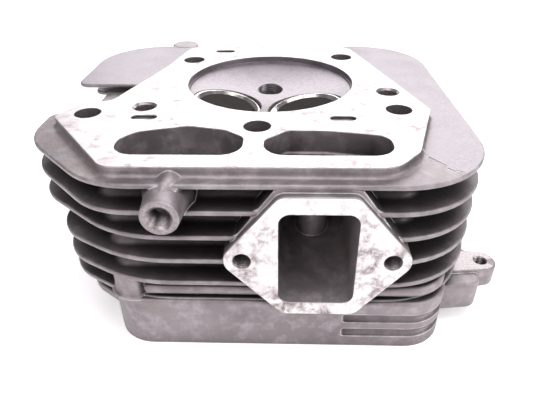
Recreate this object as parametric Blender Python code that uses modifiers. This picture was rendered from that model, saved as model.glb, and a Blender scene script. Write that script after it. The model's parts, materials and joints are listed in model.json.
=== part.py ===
"""Cylinder head of an air-cooled small engine, with its valve gear fitted.

World frame: origin on the plane of the rocker cover rim, under the middle of
the head; +Z out of the gasket face, +X along the crankshaft, +Y away from the
intake port flange. Dimensions below are millimetres from the bore centre on
the gasket face; helpers turn them into metres and move them to the world frame.
"""

from math import acos, atan2, ceil, cos, pi, radians, sin, sqrt, tan

import bmesh
import bpy
from mathutils import Matrix, Vector

MM = 0.001
BORE_CENTRE = (-1.75, 8.15, 87.0)

# Head casting, heights above the gasket face
PLATEAU_DROP = 4.2
FIN_PITCH = 11.4
FIN_THICKNESS = 1.6
UPPER_CORE_FLOOR = -35.0
CORE_FLOOR = -63.5
BOX_TOP = -61.6
RIM_Z = -87.0
BOX_WALL = 5.0

# Chamber
BORE_RADIUS = 42.0
CHAMBER_STEP = 2.6
DISH_RADIUS = 130.0
DISH_TILT = radians(1.5)

# Openings in the gasket face
HEAD_BOLT_RADIUS = 5.9
HEAD_BOLTS = ((-45.0, 35.4), (40.2, 40.8), (-80.5, -43.6), (58.8, -38.8), (-3.8, -57.3))
DOWEL_RADIUS = 4.65
DOWELS = ((-56.8, -35.7), (57.6, -16.2))
KEY_SLOTS = ((-54.1, -48.0), (33.0, -48.7), (-28.6, 52.9))

# Intake port flange
FLANGE_Y = -102.0
ROOT_Y = -98.8
FLANGE_BOLT_RADIUS = 3.9
FLANGE_BOLTS = ((-8.4, -36.4), (49.6, -36.4))
PORT_LEFT = 5.6
PORT_RIGHT = 35.7
PORT_ROOF = -14.5
PORT_FLOOR = -58.0
PORT_BOSS = (20.6, -57.0)
PORT_BOSS_RADIUS = 7.6
PORT_BOSS_TOP = -33.0

# Exhaust port flange
EXHAUST_X = -88.0
EXHAUST_CENTRE = (-10.0, -24.5)
EXHAUST_PORT_RADIUS = 11.0
EXHAUST_BOLTS = ((8.0, -24.5), (-28.0, -24.5))

# Threaded boss and mounting ear
BOSS = (-36.0, -12.7)
BOSS_Y = -108.0
BOSS_RADIUS = 8.25
EAR_HOLE = (100.5, -64.5)
EAR_HOLE_RADIUS = 3.0

# Spark plug, M14 with 19 mm reach
PLUG_POINT = (-0.4, 13.0, -9.3)
PLUG_TILT = radians(17.0)
PLUG_RADIUS = 6.6
PLUG_REACH = 19.0
PLUG_WELL_RADIUS = 12.5

# Rocker cover screws, up from the rim
COVER_SCREWS = ((-57.5, -86.5), (68.5, -86.5), (69.0, 5.0), (-58.0, 5.0))

# Valve trains: seat centre, lean of the valve axis about Y, seat sizes, pushrod place
TRAINS = {
    "intake": {
        "seat": (18.0, -14.5, -8.8),
        "lean": radians(-10.0),
        "ring": 18.6,
        "cone": 17.4,
        "throat": 14.8,
        "pushrod": (44.8, -74.2),
    },
    "exhaust": {
        "seat": (-21.5, -10.0, -8.4),
        "lean": radians(12.0),
        "ring": 17.2,
        "cone": 15.9,
        "throat": 13.2,
        "pushrod": (-42.5, -72.0),
    },
}
SEAT_HEIGHT = 6.0
GUIDE_TOP = 17.0
GUIDE_END = 41.0
GUIDE_RADIUS = 6.2
STEM_RADIUS = 3.0
DECK = 34.0
WELL_RADIUS = 15.8
SPRING_START = 35.9
SPRING_END = 59.6
SPRING_MEAN_RADIUS = 11.0
SPRING_WIRE = 2.8
SPRING_TURNS = 4.75
STEM_TIP = 68.0
PIVOT_DEPTH = 72.0
VALVE_ARM = 36.0
PUSHROD_ARM = 26.0
PIVOT_BALL = 6.5
PIVOT_SCREW = 3.0
PIVOT_SEAT = 9.8
GAP = 0.3

# ---------------------------------------------------------------- scene and materials

for old in list(bpy.data.objects):
    bpy.data.objects.remove(old, do_unlink=True)

PARTS = bpy.data.collections.new("cylinder_head")
CUTTERS = bpy.data.collections.new("cutters")
bpy.context.scene.collection.children.link(PARTS)
bpy.context.scene.collection.children.link(CUTTERS)


def make_material(name, colour, metallic, roughness):
    material = bpy.data.materials.new(name)
    material.use_nodes = True
    shader = material.node_tree.nodes["Principled BSDF"]
    shader.inputs["Base Color"].default_value = (*colour, 1.0)
    shader.inputs["Metallic"].default_value = metallic
    shader.inputs["Roughness"].default_value = roughness
    material.diffuse_color = (*colour, 1.0)
    return material


ALUMINIUM = make_material("cast_aluminium", (0.50, 0.47, 0.48), 0.7, 0.5)
SEAT_STEEL = make_material("seat_steel", (0.62, 0.58, 0.56), 0.9, 0.3)
GUIDE_IRON = make_material("guide_iron", (0.30, 0.28, 0.27), 0.8, 0.5)
VALVE_STEEL = make_material("valve_steel", (0.33, 0.31, 0.30), 0.9, 0.35)
SPRING_STEEL = make_material("spring_steel", (0.16, 0.17, 0.20), 0.9, 0.35)
WASHER_STEEL = make_material("washer_steel", (0.48, 0.47, 0.46), 0.9, 0.4)
KEEPER_STEEL = make_material("keeper_steel", (0.40, 0.38, 0.36), 0.9, 0.4)
ROCKER_STEEL = make_material("rocker_steel", (0.28, 0.27, 0.27), 0.9, 0.45)
SCREW_STEEL = make_material("screw_steel", (0.10, 0.10, 0.11), 0.8, 0.45)
SEAL_RUBBER = make_material("seal_rubber", (0.12, 0.10, 0.06), 0.0, 0.7)

# ---------------------------------------------------------------- flat outlines


def arc(cx, cy, radius, start, end, steps):
    points = []
    for i in range(steps + 1):
        angle = start + (end - start) * i / steps
        points.append((cx + radius * cos(angle), cy + radius * sin(angle)))
    return points


def circle(cx, cy, radius, steps=32):
    return arc(cx, cy, radius, 0.0, 2.0 * pi, steps)[:-1]


def rounded(corners):
    """Outline through corners (x, y, radius), each corner replaced by an arc."""
    points = []
    for i, (x, y, radius) in enumerate(corners):
        here = Vector((x, y))
        before = (Vector(corners[i - 1][:2]) - here).normalized()
        after = (Vector(corners[(i + 1) % len(corners)][:2]) - here).normalized()
        opening = acos(max(-1.0, min(1.0, before.dot(after))))
        if radius <= 0.0 or opening > pi - 0.01:
            points.append((x, y))
            continue
        reach = radius / tan(opening / 2.0)
        centre = here + (before + after).normalized() * (radius / sin(opening / 2.0))
        first = here + before * reach - centre
        last = here + after * reach - centre
        start = atan2(first.y, first.x)
        sweep = atan2(first.x * last.y - first.y * last.x, first.dot(last))
        steps = max(2, ceil(abs(sweep) / radians(15.0)))
        points.extend(arc(centre.x, centre.y, radius, start, start + sweep, steps))
    return points


def hull(circles, steps=28):
    """Convex outline around circles (x, y, radius)."""
    cloud = []
    for x, y, radius in circles:
        cloud.extend(circle(x, y, radius, steps))
    cloud = sorted(set((round(x, 5), round(y, 5)) for x, y in cloud))

    def chain(points):
        side = []
        for p in points:
            while len(side) > 1:
                ax, ay = side[-1][0] - side[-2][0], side[-1][1] - side[-2][1]
                bx, by = p[0] - side[-2][0], p[1] - side[-2][1]
                if ax * by - ay * bx > 1e-6:
                    break
                side.pop()
            side.append(p)
        return side[:-1]

    return chain(cloud) + chain(reversed(cloud))


def stadium(cx, cy, length, width, steps=8):
    half = (length - width) / 2.0
    right = arc(cx + half, cy, width / 2.0, -pi / 2.0, pi / 2.0, steps)
    left = arc(cx - half, cy, width / 2.0, pi / 2.0, 1.5 * pi, steps)
    return right + left


# ---------------------------------------------------------------- solids

ALONG = {
    "x": Matrix(((0, 0, 1), (1, 0, 0), (0, 1, 0))),
    "y": Matrix(((1, 0, 0), (0, 0, 1), (0, 1, 0))),
    "z": Matrix.Identity(3),
}


def add_prism(bm, outline, low, high, axis="z"):
    """Prism between two levels; the outline lies in the other two axes, in order."""
    turn = ALONG[axis]
    rings = []
    for level in (low, high):
        rings.append([bm.verts.new(turn @ Vector((x, y, level)) * MM) for x, y in outline])
    bm.faces.new(rings[0])
    bm.faces.new(rings[1])
    count = len(outline)
    for i in range(count):
        j = (i + 1) % count
        bm.faces.new((rings[0][i], rings[0][j], rings[1][j], rings[1][i]))


def add_loft(bm, rings, closed=False):
    """Skin over rings of points with equal counts, capped unless closed."""
    levels = [[bm.verts.new(Vector(p) * MM) for p in ring] for ring in rings]
    count = len(levels[0])
    spans = len(levels) if closed else len(levels) - 1
    for a in range(spans):
        lower, upper = levels[a], levels[(a + 1) % len(levels)]
        for i in range(count):
            j = (i + 1) % count
            bm.faces.new((lower[i], lower[j], upper[j], upper[i]))
    if not closed:
        bm.faces.new(levels[0])
        bm.faces.new(levels[-1])


def finish_mesh(name, bm):
    bmesh.ops.recalc_face_normals(bm, faces=bm.faces)
    mesh = bpy.data.meshes.new(name)
    bm.to_mesh(mesh)
    bm.free()
    return mesh


def place(name, mesh, collection, material=None, frame=None):
    item = bpy.data.objects.new(name, mesh)
    collection.objects.link(item)
    item.location = Vector(BORE_CENTRE) * MM
    if frame is not None:
        item.location += frame.to_translation()
        item.rotation_euler = frame.to_euler()
    if material is not None:
        mesh.materials.append(material)
    return item


def tool(name, frame=None, prisms=(), lofts=()):
    """Hidden solid that a casting or arm is joined with or cut by."""
    bm = bmesh.new()
    for prism in prisms:
        add_prism(bm, *prism)
    for rings in lofts:
        add_loft(bm, rings)
    item = place(name, finish_mesh(name, bm), CUTTERS, None, frame)
    item.hide_render = True
    item.display_type = "WIRE"
    return item


def combine(target, item, operation):
    step = target.modifiers.new(item.name, "BOOLEAN")
    step.operation = operation
    step.solver = "EXACT"
    step.object = item


def shade(item, angle=radians(32.0)):
    item.data.shade_smooth()
    item.data.set_sharp_from_angle(angle=angle)


def turned(name, profile, collection, material=None, frame=None, steps=40, closed=True):
    """Body of revolution about local Z; the profile runs down its outer side."""
    mesh = bpy.data.meshes.new(name)
    points = [(x * MM, 0.0, z * MM) for x, z in profile]
    edges = [(i, i + 1) for i in range(len(points) - 1)]
    if closed:
        edges.append((len(points) - 1, 0))
    mesh.from_pydata(points, edges, [])
    item = place(name, mesh, collection, material, frame)
    screw = item.modifiers.new("turn", "SCREW")
    screw.axis = "Z"
    screw.angle = 2.0 * pi
    screw.steps = steps
    screw.render_steps = steps
    screw.use_merge_vertices = True
    screw.merge_threshold = 0.00001
    screw.use_smooth_shade = True
    return item


# ---------------------------------------------------------------- frames of the valve trains


def valve_frame(train):
    turn = Matrix.Rotation(train["lean"], 4, "Y")
    return Matrix.Translation(Vector(train["seat"]) * MM) @ turn


def rocker_frame(train):
    """Origin at the pivot, X along the hinge, Y toward the valve, Z toward the chamber."""
    frame = valve_frame(train)
    up = (frame.to_3x3() @ Vector((0.0, 0.0, 1.0))).normalized()
    level = frame @ Vector((0.0, 0.0, -PIVOT_DEPTH * MM))
    across = level - Vector((train["pushrod"][0] * MM, train["pushrod"][1] * MM, level.z))
    toward = (across - up * across.dot(up)).normalized()
    hinge = toward.cross(up).normalized()
    turn = Matrix((hinge, toward, up)).transposed().to_4x4()
    return Matrix.Translation(level - toward * VALVE_ARM * MM) @ turn


def plug_frame():
    turn = Matrix.Rotation(PLUG_TILT, 4, "X")
    return Matrix.Translation(Vector(PLUG_POINT) * MM) @ turn


# ---------------------------------------------------------------- head casting


def fin_outline(left, wing, front=-99.0):
    """Plan outline of a fin: reach of its left-hand lobes, front edge of the rear one."""
    chamfer = front - 63.6 - left
    return rounded((
        (-63.6, front, 30.0),
        (88.8, front, 39.0),
        (88.8, 79.5, 38.0),
        (left - 2.5, 79.5, min(35.0, 72.0 - wing)),
        (left - 2.5, wing, 6.0),
        (-66.0, wing, 3.0),
        (-66.0, -23.5, 4.0),
        (-84.0, -25.0, 6.0),
        (left, -36.0, 6.0),
        (left, chamfer, 32.0),
    ))


def box_outline(inset=0.0):
    return rounded((
        (-68.0 + inset, -98.0 + inset, 18.0 - inset),
        (79.0 - inset, -98.0 + inset, 18.0 - inset),
        (79.0 - inset, 15.0 - inset, 12.0 - inset),
        (-68.0 + inset, 15.0 - inset, 12.0 - inset),
    ))


def build_casting():
    bm = bmesh.new()
    add_prism(bm, rounded((
        (-64.0, -88.0, 6.0),
        (57.0, -88.0, 6.0),
        (66.0, -48.0, 8.0),
        (66.0, -30.0, 8.0),
        (54.0, 0.0, 10.0),
        (51.0, 50.0, 10.0),
        (-50.0, 50.0, 10.0),
        (-56.0, 5.0, 6.0),
        (-64.0, -30.0, 6.0),
    )), UPPER_CORE_FLOOR, -PLATEAU_DROP - 0.6)
    casting = place("head_casting", finish_mesh("head_casting", bm), PARTS, ALUMINIUM)

    lower_core = tool("join_lower_core", prisms=[(rounded((
        (-64.0, -88.0, 6.0),
        (57.0, -88.0, 6.0),
        (66.0, -48.0, 8.0),
        (62.0, 13.0, 8.0),
        (-58.0, 13.0, 8.0),
    )), CORE_FLOOR, UPPER_CORE_FLOOR + 1.0)])
    combine(casting, lower_core, "UNION")

    columns = [(circle(x, y, 10.5, 28), -66.0, -4.6) for x, y in HEAD_BOLTS[:2]]
    columns.append((circle(*HEAD_BOLTS[2], 10.0, 28), -66.0, -4.6))
    columns.append((circle(-58.8, 83.5, 8.2, 20), -22.0, -PLATEAU_DROP + 0.4))
    combine(casting, tool("join_columns", prisms=columns), "UNION")

    plug_boss = tool("join_plug_boss", plug_frame(), prisms=[
        (circle(0.0, 0.0, 17.5, 32), -PLUG_REACH - 7.0, -4.0),
    ])
    combine(casting, plug_boss, "UNION")

    fins = []
    for i, wing in enumerate((5.5, 25.0, 40.0, 40.0, 40.0, 40.0)):
        base = -PLATEAU_DROP - FIN_THICKNESS - FIN_PITCH * i
        left = -101.5 if i < 3 else -90.0
        front = -99.0 if i < 5 else -93.2
        fins.append((fin_outline(left, wing, front), base, base + FIN_THICKNESS))
    lobe = rounded(((-62.0, -88.0, 4.0), (-62.0, -30.0, 4.0), (-84.0, -30.0, 8.0), (-84.0, -72.0, 16.0)))
    fins.append((lobe, -77.0, -72.6))
    combine(casting, tool("join_fins", prisms=fins), "UNION")

    plateau = tool("join_plateau", prisms=[(rounded((
        (-59.4, -93.2, 9.0),
        (48.5, -93.2, 14.0),
        (59.5, -80.0, 12.0),
        (73.0, -38.5, 3.5),
        (63.0, 0.0, 30.0),
        (46.0, 62.0, 9.0),
        (-50.5, 62.0, 9.0),
        (-58.5, 22.0, 26.0),
        (-74.0, -27.5, 5.0),
        (-87.0, -33.5, 7.0),
        (-95.0, -46.8, 5.0),
    )), -PLATEAU_DROP - 1.0, 0.0)])
    combine(casting, plateau, "UNION")

    box = tool("join_rocker_box", prisms=[(box_outline(), RIM_Z, BOX_TOP)])
    combine(casting, box, "UNION")

    corner = rounded(((-66.6, -98.0, 13.0), (-52.0, -98.0, 1.4), (-52.0, -83.0, 0.0), (-66.6, -83.0, 0.0)))
    combine(casting, tool("join_box_corner", prisms=[(corner, BOX_TOP - 1.0, -50.4)]), "UNION")
    upper_wall = [(box_outline(4.6), BOX_TOP - 0.6, -50.6)]
    combine(casting, tool("join_upper_wall", prisms=upper_wall), "UNION")
    bead = rounded(((-45.0, -97.0, 3.0), (77.8, -97.0, 17.0), (77.8, -58.0, 0.0), (-45.0, -58.0, 0.0)))
    combine(casting, tool("join_bead", prisms=[(bead, -58.5, -53.8)]), "UNION")

    flange = hull((
        (FLANGE_BOLTS[0][0], FLANGE_BOLTS[0][1], 7.3),
        (FLANGE_BOLTS[1][0], FLANGE_BOLTS[1][1], 7.3),
        (8.5, -12.7, 5.5),
        (32.0, -12.7, 5.5),
        (9.5, -58.5, 5.5),
        (34.0, -58.5, 5.5),
    ))
    combine(casting, tool("join_intake_flange", prisms=[(flange, FLANGE_Y, -84.0, "y")]), "UNION")
    root = hull((
        (FLANGE_BOLTS[0][0] + 1.0, FLANGE_BOLTS[0][1], 10.0),
        (FLANGE_BOLTS[1][0] - 1.0, FLANGE_BOLTS[1][1], 10.0),
        (9.5, -13.6, 8.5),
        (31.0, -13.6, 8.5),
        (9.5, -57.0, 6.0),
        (34.0, -57.0, 6.0),
    ), 24)
    combine(casting, tool("join_flange_root", prisms=[(root, ROOT_Y, -85.0, "y")]), "UNION")

    port_wall = rounded((
        (2.0, PORT_ROOF + 4.0, 5.0),
        (39.5, PORT_ROOF + 4.0, 5.0),
        (39.5, PORT_FLOOR - 4.0, 5.0),
        (2.0, PORT_FLOOR - 4.0, 5.0),
    ))
    combine(casting, tool("join_port_wall", prisms=[(port_wall, -98.0, -60.0, "y")]), "UNION")

    exhaust = rounded(((-34.5, -40.5, 7.0), (14.5, -40.5, 7.0), (14.5, -8.6, 7.0), (-34.5, -8.6, 7.0)))
    combine(casting, tool("join_exhaust_flange", prisms=[(exhaust, EXHAUST_X, -44.0, "x")]), "UNION")

    web = hull(((BOSS[0], BOSS[1], BOSS_RADIUS), (BOSS[0] - 8.0, -6.5, 1.5), (BOSS[0] + 8.0, -6.5, 1.5)))
    combine(casting, tool("join_boss_web", prisms=[(web, -98.6, -86.0, "y")]), "UNION")
    boss = tool("join_boss", prisms=[(circle(*BOSS, BOSS_RADIUS, 32), BOSS_Y, -95.0, "y")])
    combine(casting, boss, "UNION")

    block = rounded(((76.0, -80.0, 0.0), (97.0, -80.0, 7.0), (97.0, -52.0, 7.0), (76.0, -48.0, 0.0)))
    combine(casting, tool("join_ear_block", prisms=[(block, -81.0, -69.0)]), "UNION")
    ear = hull(((84.0, EAR_HOLE[1], 8.5), (EAR_HOLE[0], EAR_HOLE[1], 7.0)))
    combine(casting, tool("join_ear", prisms=[(ear, -75.0, -65.0)]), "UNION")

    cavity = tool("cut_rocker_box", prisms=[(box_outline(BOX_WALL), RIM_Z - 5.0, CORE_FLOOR)])
    combine(casting, cavity, "DIFFERENCE")

    cover_bosses = [
        (circle(x, y, 6.5, 24), RIM_Z, CORE_FLOOR + 1.0)
        for x, y in COVER_SCREWS
    ]
    combine(casting, tool("join_cover_bosses", prisms=cover_bosses), "UNION")
    for name, train in TRAINS.items():
        base = [(circle(0.0, 0.0, 7.5, 24), PIVOT_SEAT, PIVOT_SEAT + 14.0)]
        pad = tool("join_" + name + "_pivot_pad", rocker_frame(train), prisms=base)
        combine(casting, pad, "UNION")

    cut_chamber(casting)
    cut_ports(casting)
    cut_holes(casting)
    cut_grooves(casting)
    shade(casting, radians(28.0))
    return casting


def cut_chamber(casting):
    step = tool("cut_chamber_step", prisms=[(circle(0.0, 0.0, BORE_RADIUS, 64), -CHAMBER_STEP, 3.0)])
    combine(casting, step, "DIFFERENCE")
    half = BORE_RADIUS - 0.6
    sink = DISH_RADIUS - sqrt(DISH_RADIUS ** 2 - half ** 2)
    rings = 5
    profile = [(0.0, 5.0), (half, 5.0)]
    for i in range(rings):
        reach = half * (1.0 - i / rings)
        depth = sink - (DISH_RADIUS - sqrt(DISH_RADIUS ** 2 - reach ** 2))
        profile.append((reach, -depth))
    profile.append((0.0, -sink))
    drop = CHAMBER_STEP + half * sin(DISH_TILT)
    tilt = Matrix.Translation((0.0, 0.0, -drop * MM)) @ Matrix.Rotation(DISH_TILT, 4, "X")
    dish = turned("cut_chamber_dish", profile, CUTTERS, None, tilt, 48, closed=False)
    dish.hide_render = True
    dish.display_type = "WIRE"
    combine(casting, dish, "DIFFERENCE")


def port_ring(y, left, right, floor, roof, radius):
    return [(x, y, z) for x, z in rounded((
        (left, floor, radius),
        (right, floor, radius),
        (right, roof, radius),
        (left, roof, radius),
    ))]


def cut_ports(casting):
    duct = tool("cut_intake_duct", lofts=[[
        port_ring(FLANGE_Y - 2.0, PORT_LEFT, PORT_RIGHT, PORT_FLOOR, PORT_ROOF, 4.5),
        port_ring(-62.0, PORT_LEFT + 0.2, PORT_RIGHT, -51.0, PORT_ROOF, 5.0),
        port_ring(-36.0, 7.0, 35.0, -39.0, PORT_ROOF, 7.0),
        port_ring(-14.0, 9.0, 34.0, -35.0, PORT_ROOF - 1.0, 8.0),
        port_ring(-5.0, 13.0, 30.0, -32.0, PORT_ROOF - 4.0, 6.0),
    ]])
    combine(casting, duct, "DIFFERENCE")
    hump = [(circle(*PORT_BOSS, PORT_BOSS_RADIUS, 24), -60.0, PORT_BOSS_TOP)]
    combine(casting, tool("join_port_boss", prisms=hump), "UNION")
    bore = tool("cut_exhaust_duct", prisms=[
        (circle(*EXHAUST_CENTRE, EXHAUST_PORT_RADIUS, 28), EXHAUST_X - 3.0, -19.0, "x"),
    ])
    combine(casting, bore, "DIFFERENCE")
    for name, train in TRAINS.items():
        frame = valve_frame(train)
        profile = (
            (0.0, 9.0),
            (train["ring"] + GAP, 9.0),
            (train["ring"] + GAP, -SEAT_HEIGHT - GAP),
            (train["throat"], -SEAT_HEIGHT - GAP),
            (train["throat"] - 0.6, -20.0),
            (train["throat"] - 5.0, -26.5),
            (GUIDE_RADIUS + GAP, -26.5),
            (GUIDE_RADIUS + GAP, -DECK),
            (WELL_RADIUS, -DECK),
            (WELL_RADIUS, -62.0),
            (0.0, -62.0),
        )
        column = turned("cut_" + name + "_valve_bore", profile, CUTTERS, None, frame, 32, closed=False)
        column.hide_render = True
        column.display_type = "WIRE"
        combine(casting, column, "DIFFERENCE")


def cut_holes(casting):
    left_opening = rounded((
        (-61.0, -83.7, 8.8),
        (-7.6, -83.7, 8.8),
        (-7.6, -67.5, 5.0),
        (-17.0, -60.8, 9.0),
        (-33.0, -56.8, 10.0),
        (-56.0, -64.0, 8.0),
        (-61.0, -70.0, 6.0),
    ))
    right_opening = rounded((
        (-0.4, -83.7, 8.8),
        (51.8, -83.7, 8.8),
        (51.8, -66.4, 7.4),
        (25.0, -61.3, 10.0),
        (9.0, -61.2, 4.0),
        (-0.4, -70.5, 3.6),
    ))
    right_passage = rounded((
        (41.0, -81.0, 3.0),
        (49.5, -81.0, 3.0),
        (49.5, -66.0, 3.0),
        (41.0, -66.0, 3.0),
    ))
    openings = tool("cut_pushrod_openings", prisms=[
        (left_opening, CORE_FLOOR - 1.0, 3.0),
        (right_opening, PORT_ROOF + 4.0, 3.0),
    ])
    combine(casting, openings, "DIFFERENCE")
    passage = tool("cut_right_passage", prisms=[(right_passage, CORE_FLOOR - 1.0, -9.0)])
    combine(casting, passage, "DIFFERENCE")

    holes = [(circle(x, y, HEAD_BOLT_RADIUS, 28), -70.0, 3.0) for x, y in HEAD_BOLTS]
    holes.extend((circle(x, y, DOWEL_RADIUS, 24), -12.0, 3.0) for x, y in DOWELS)
    holes.extend((stadium(x, y, 11.2, 4.3), -1.6, 3.0) for x, y in KEY_SLOTS)
    holes.append((circle(*EAR_HOLE, EAR_HOLE_RADIUS, 20), -90.0, -60.0))
    for x, y in COVER_SCREWS:
        holes.append((circle(x, y, 2.5, 16), RIM_Z - 3.0, -72.0))
    combine(casting, tool("cut_vertical_holes", prisms=holes), "DIFFERENCE")

    sinks = []
    for x, y in DOWELS:
        low = [(px, py, -1.0) for px, py in circle(x, y, DOWEL_RADIUS, 24)]
        high = [(px, py, 0.5) for px, py in circle(x, y, DOWEL_RADIUS + 1.5, 24)]
        sinks.append([low, high])
    combine(casting, tool("cut_dowel_sinks", lofts=sinks), "DIFFERENCE")

    front = [(circle(x, z, FLANGE_BOLT_RADIUS, 24), FLANGE_Y - 3.0, -87.0, "y") for x, z in FLANGE_BOLTS]
    front.append((circle(*BOSS, 3.9, 24), BOSS_Y - 3.0, -92.0, "y"))
    combine(casting, tool("cut_front_holes", prisms=front), "DIFFERENCE")

    side = [(circle(y, z, 3.4, 20), EXHAUST_X - 3.0, -70.0, "x") for y, z in EXHAUST_BOLTS]
    combine(casting, tool("cut_exhaust_studs", prisms=side), "DIFFERENCE")

    plug = tool("cut_plug_thread", plug_frame(), prisms=[
        (circle(0.0, 0.0, PLUG_RADIUS, 28), -PLUG_REACH - 2.0, 6.0),
    ])
    combine(casting, plug, "DIFFERENCE")
    well = tool("cut_plug_well", plug_frame(), prisms=[
        (circle(0.0, 0.0, PLUG_WELL_RADIUS, 32), -85.0, -PLUG_REACH),
    ])
    combine(casting, well, "DIFFERENCE")

    for name, train in TRAINS.items():
        thread = [(circle(0.0, 0.0, 2.7, 16), PIVOT_SEAT - 2.0, PIVOT_SEAT + 13.0)]
        drill = tool("cut_" + name + "_pivot_thread", rocker_frame(train), prisms=thread)
        combine(casting, drill, "DIFFERENCE")


def cut_grooves(casting):
    """Two cooling grooves round the front right corner of the rocker box."""
    bands = []
    for low, high in ((-72.0, -69.0), (-80.0, -77.0)):
        bands.append((rounded((
            (34.0, -110.0, 0.0),
            (100.0, -110.0, 0.0),
            (100.0, -81.0, 0.0),
            (76.0, -81.0, 0.0),
            (76.0, -95.0, 15.0),
            (34.0, -95.0, 0.0),
        )), low, high))
    combine(casting, tool("cut_box_grooves", prisms=bands), "DIFFERENCE")


# ---------------------------------------------------------------- valve gear


def build_seat(name, train):
    ring, cone, throat = train["ring"], train["cone"], train["throat"]
    profile = (
        (ring - 0.4, 0.0),
        (ring, -0.4),
        (ring, -SEAT_HEIGHT),
        (throat, -SEAT_HEIGHT),
        (throat, throat - cone),
        (cone, 0.0),
    )
    return turned(name + "_valve_seat", profile, PARTS, SEAT_STEEL, valve_frame(train), 40)


def build_guide(name, train):
    bore = STEM_RADIUS + GAP
    profile = (
        (GUIDE_RADIUS - 1.6, -GUIDE_TOP),
        (GUIDE_RADIUS, -GUIDE_TOP - 4.0),
        (GUIDE_RADIUS, -GUIDE_END + 0.8),
        (GUIDE_RADIUS - 0.8, -GUIDE_END),
        (bore, -GUIDE_END),
        (bore, -GUIDE_TOP),
    )
    return turned(name + "_valve_guide", profile, PARTS, GUIDE_IRON, valve_frame(train), 24)


def build_spring_seat(name, train):
    profile = (
        (14.6, -DECK - GAP),
        (14.6, -SPRING_START + GAP),
        (GUIDE_RADIUS + 0.5, -SPRING_START + GAP),
        (GUIDE_RADIUS + 0.5, -DECK - GAP),
    )
    return turned(name + "_spring_seat", profile, PARTS, WASHER_STEEL, valve_frame(train), 32)


def build_stem_seal(name, train):
    bore = STEM_RADIUS + GAP
    profile = (
        (7.8, -36.6),
        (7.8, -42.0),
        (7.0, -42.8),
        (5.4, -43.4),
        (5.0, -46.6),
        (bore, -46.6),
        (bore, -GUIDE_END - GAP),
        (GUIDE_RADIUS + GAP, -GUIDE_END - GAP),
        (GUIDE_RADIUS + GAP, -36.6),
    )
    return turned(name + "_stem_seal", profile, PARTS, SEAL_RUBBER, valve_frame(train), 24)


def build_valve(name, train):
    head = train["cone"] - 2.2
    face = head - train["cone"] + 0.42
    neck = head - 2.9
    profile = (
        (0.0, face + 1.0),
        (head - 0.3, face + 1.0),
        (head, face + 0.7),
        (head, face),
        (neck, face - 2.9),
        (neck - 3.8, face - 4.4),
        (neck - 6.4, face - 7.2),
        (STEM_RADIUS + 0.9, face - 11.5),
        (STEM_RADIUS, face - 15.5),
        (STEM_RADIUS, -STEM_TIP + 0.5),
        (STEM_RADIUS - 0.5, -STEM_TIP),
        (0.0, -STEM_TIP),
    )
    return turned(name + "_valve", profile, PARTS, VALVE_STEEL, valve_frame(train), 32, closed=False)


def spring_path(along):
    """Height of the wire centre after a number of turns, with close-wound ends."""
    low = -SPRING_END + SPRING_WIRE / 2.0
    high = -SPRING_START - SPRING_WIRE / 2.0
    close = SPRING_WIRE + 0.25
    open_pitch = (high - low - 2.0 * close) / (SPRING_TURNS - 2.0)
    if along < 1.0:
        return low + close * along
    if along < SPRING_TURNS - 1.0:
        return low + close + open_pitch * (along - 1.0)
    return high - close * (SPRING_TURNS - along)


def build_spring(name, train):
    steps = 76
    sides = 8
    rings = []
    for i in range(steps + 1):
        along = SPRING_TURNS * i / steps
        angle = 2.0 * pi * along
        out = Vector((cos(angle), sin(angle), 0.0))
        centre = out * SPRING_MEAN_RADIUS + Vector((0.0, 0.0, spring_path(along)))
        ring = []
        for k in range(sides):
            turn = 2.0 * pi * (k + 0.5) / sides
            offset = out * cos(turn) + Vector((0.0, 0.0, 1.0)) * sin(turn)
            ring.append(centre + offset * SPRING_WIRE / 2.0)
        rings.append(ring)
    bm = bmesh.new()
    add_loft(bm, rings)
    mesh = finish_mesh(name + "_valve_spring", bm)
    item = place(name + "_valve_spring", mesh, PARTS, SPRING_STEEL, valve_frame(train))
    shade(item, radians(50.0))
    return item


def build_retainer(name, train, outer, skirt):
    profile = (
        (outer, -SPRING_END - GAP),
        (outer, -SPRING_END - GAP - skirt),
        (8.4, -65.2),
        (6.4, -65.2),
        (5.2, -57.6),
        (8.6, -57.6),
        (8.9, -SPRING_END - GAP),
    )
    return turned(name + "_spring_retainer", profile, PARTS, WASHER_STEEL, valve_frame(train), 36)


def build_keeper(name, train, side, start):
    profile = ((4.9, -58.0), (6.0, -64.8), (STEM_RADIUS + 0.25, -64.8), (STEM_RADIUS + 0.25, -58.0))
    steps = 9
    sweep = radians(172.0)
    rings = []
    for i in range(steps + 1):
        angle = start + sweep * i / steps
        rings.append([(r * cos(angle), r * sin(angle), z) for r, z in profile])
    bm = bmesh.new()
    add_loft(bm, rings)
    label = name + "_keeper_" + side
    item = place(label, finish_mesh(label, bm), PARTS, KEEPER_STEEL, valve_frame(train))
    shade(item)
    return item


def build_pivot(name, train):
    radius = PIVOT_BALL
    steps = 6
    top = 5.2
    start = atan2(top, sqrt(radius ** 2 - top ** 2))
    end = -radians(9.0)
    bore = PIVOT_SCREW + GAP
    profile = []
    for i in range(steps + 1):
        angle = start + (end - start) * i / steps
        profile.append((radius * cos(angle), radius * sin(angle)))
    profile.append((bore, profile[-1][1]))
    profile.append((bore, profile[0][1]))
    return turned(name + "_rocker_pivot", profile, PARTS, SEAT_STEEL, rocker_frame(train), 28)


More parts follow.
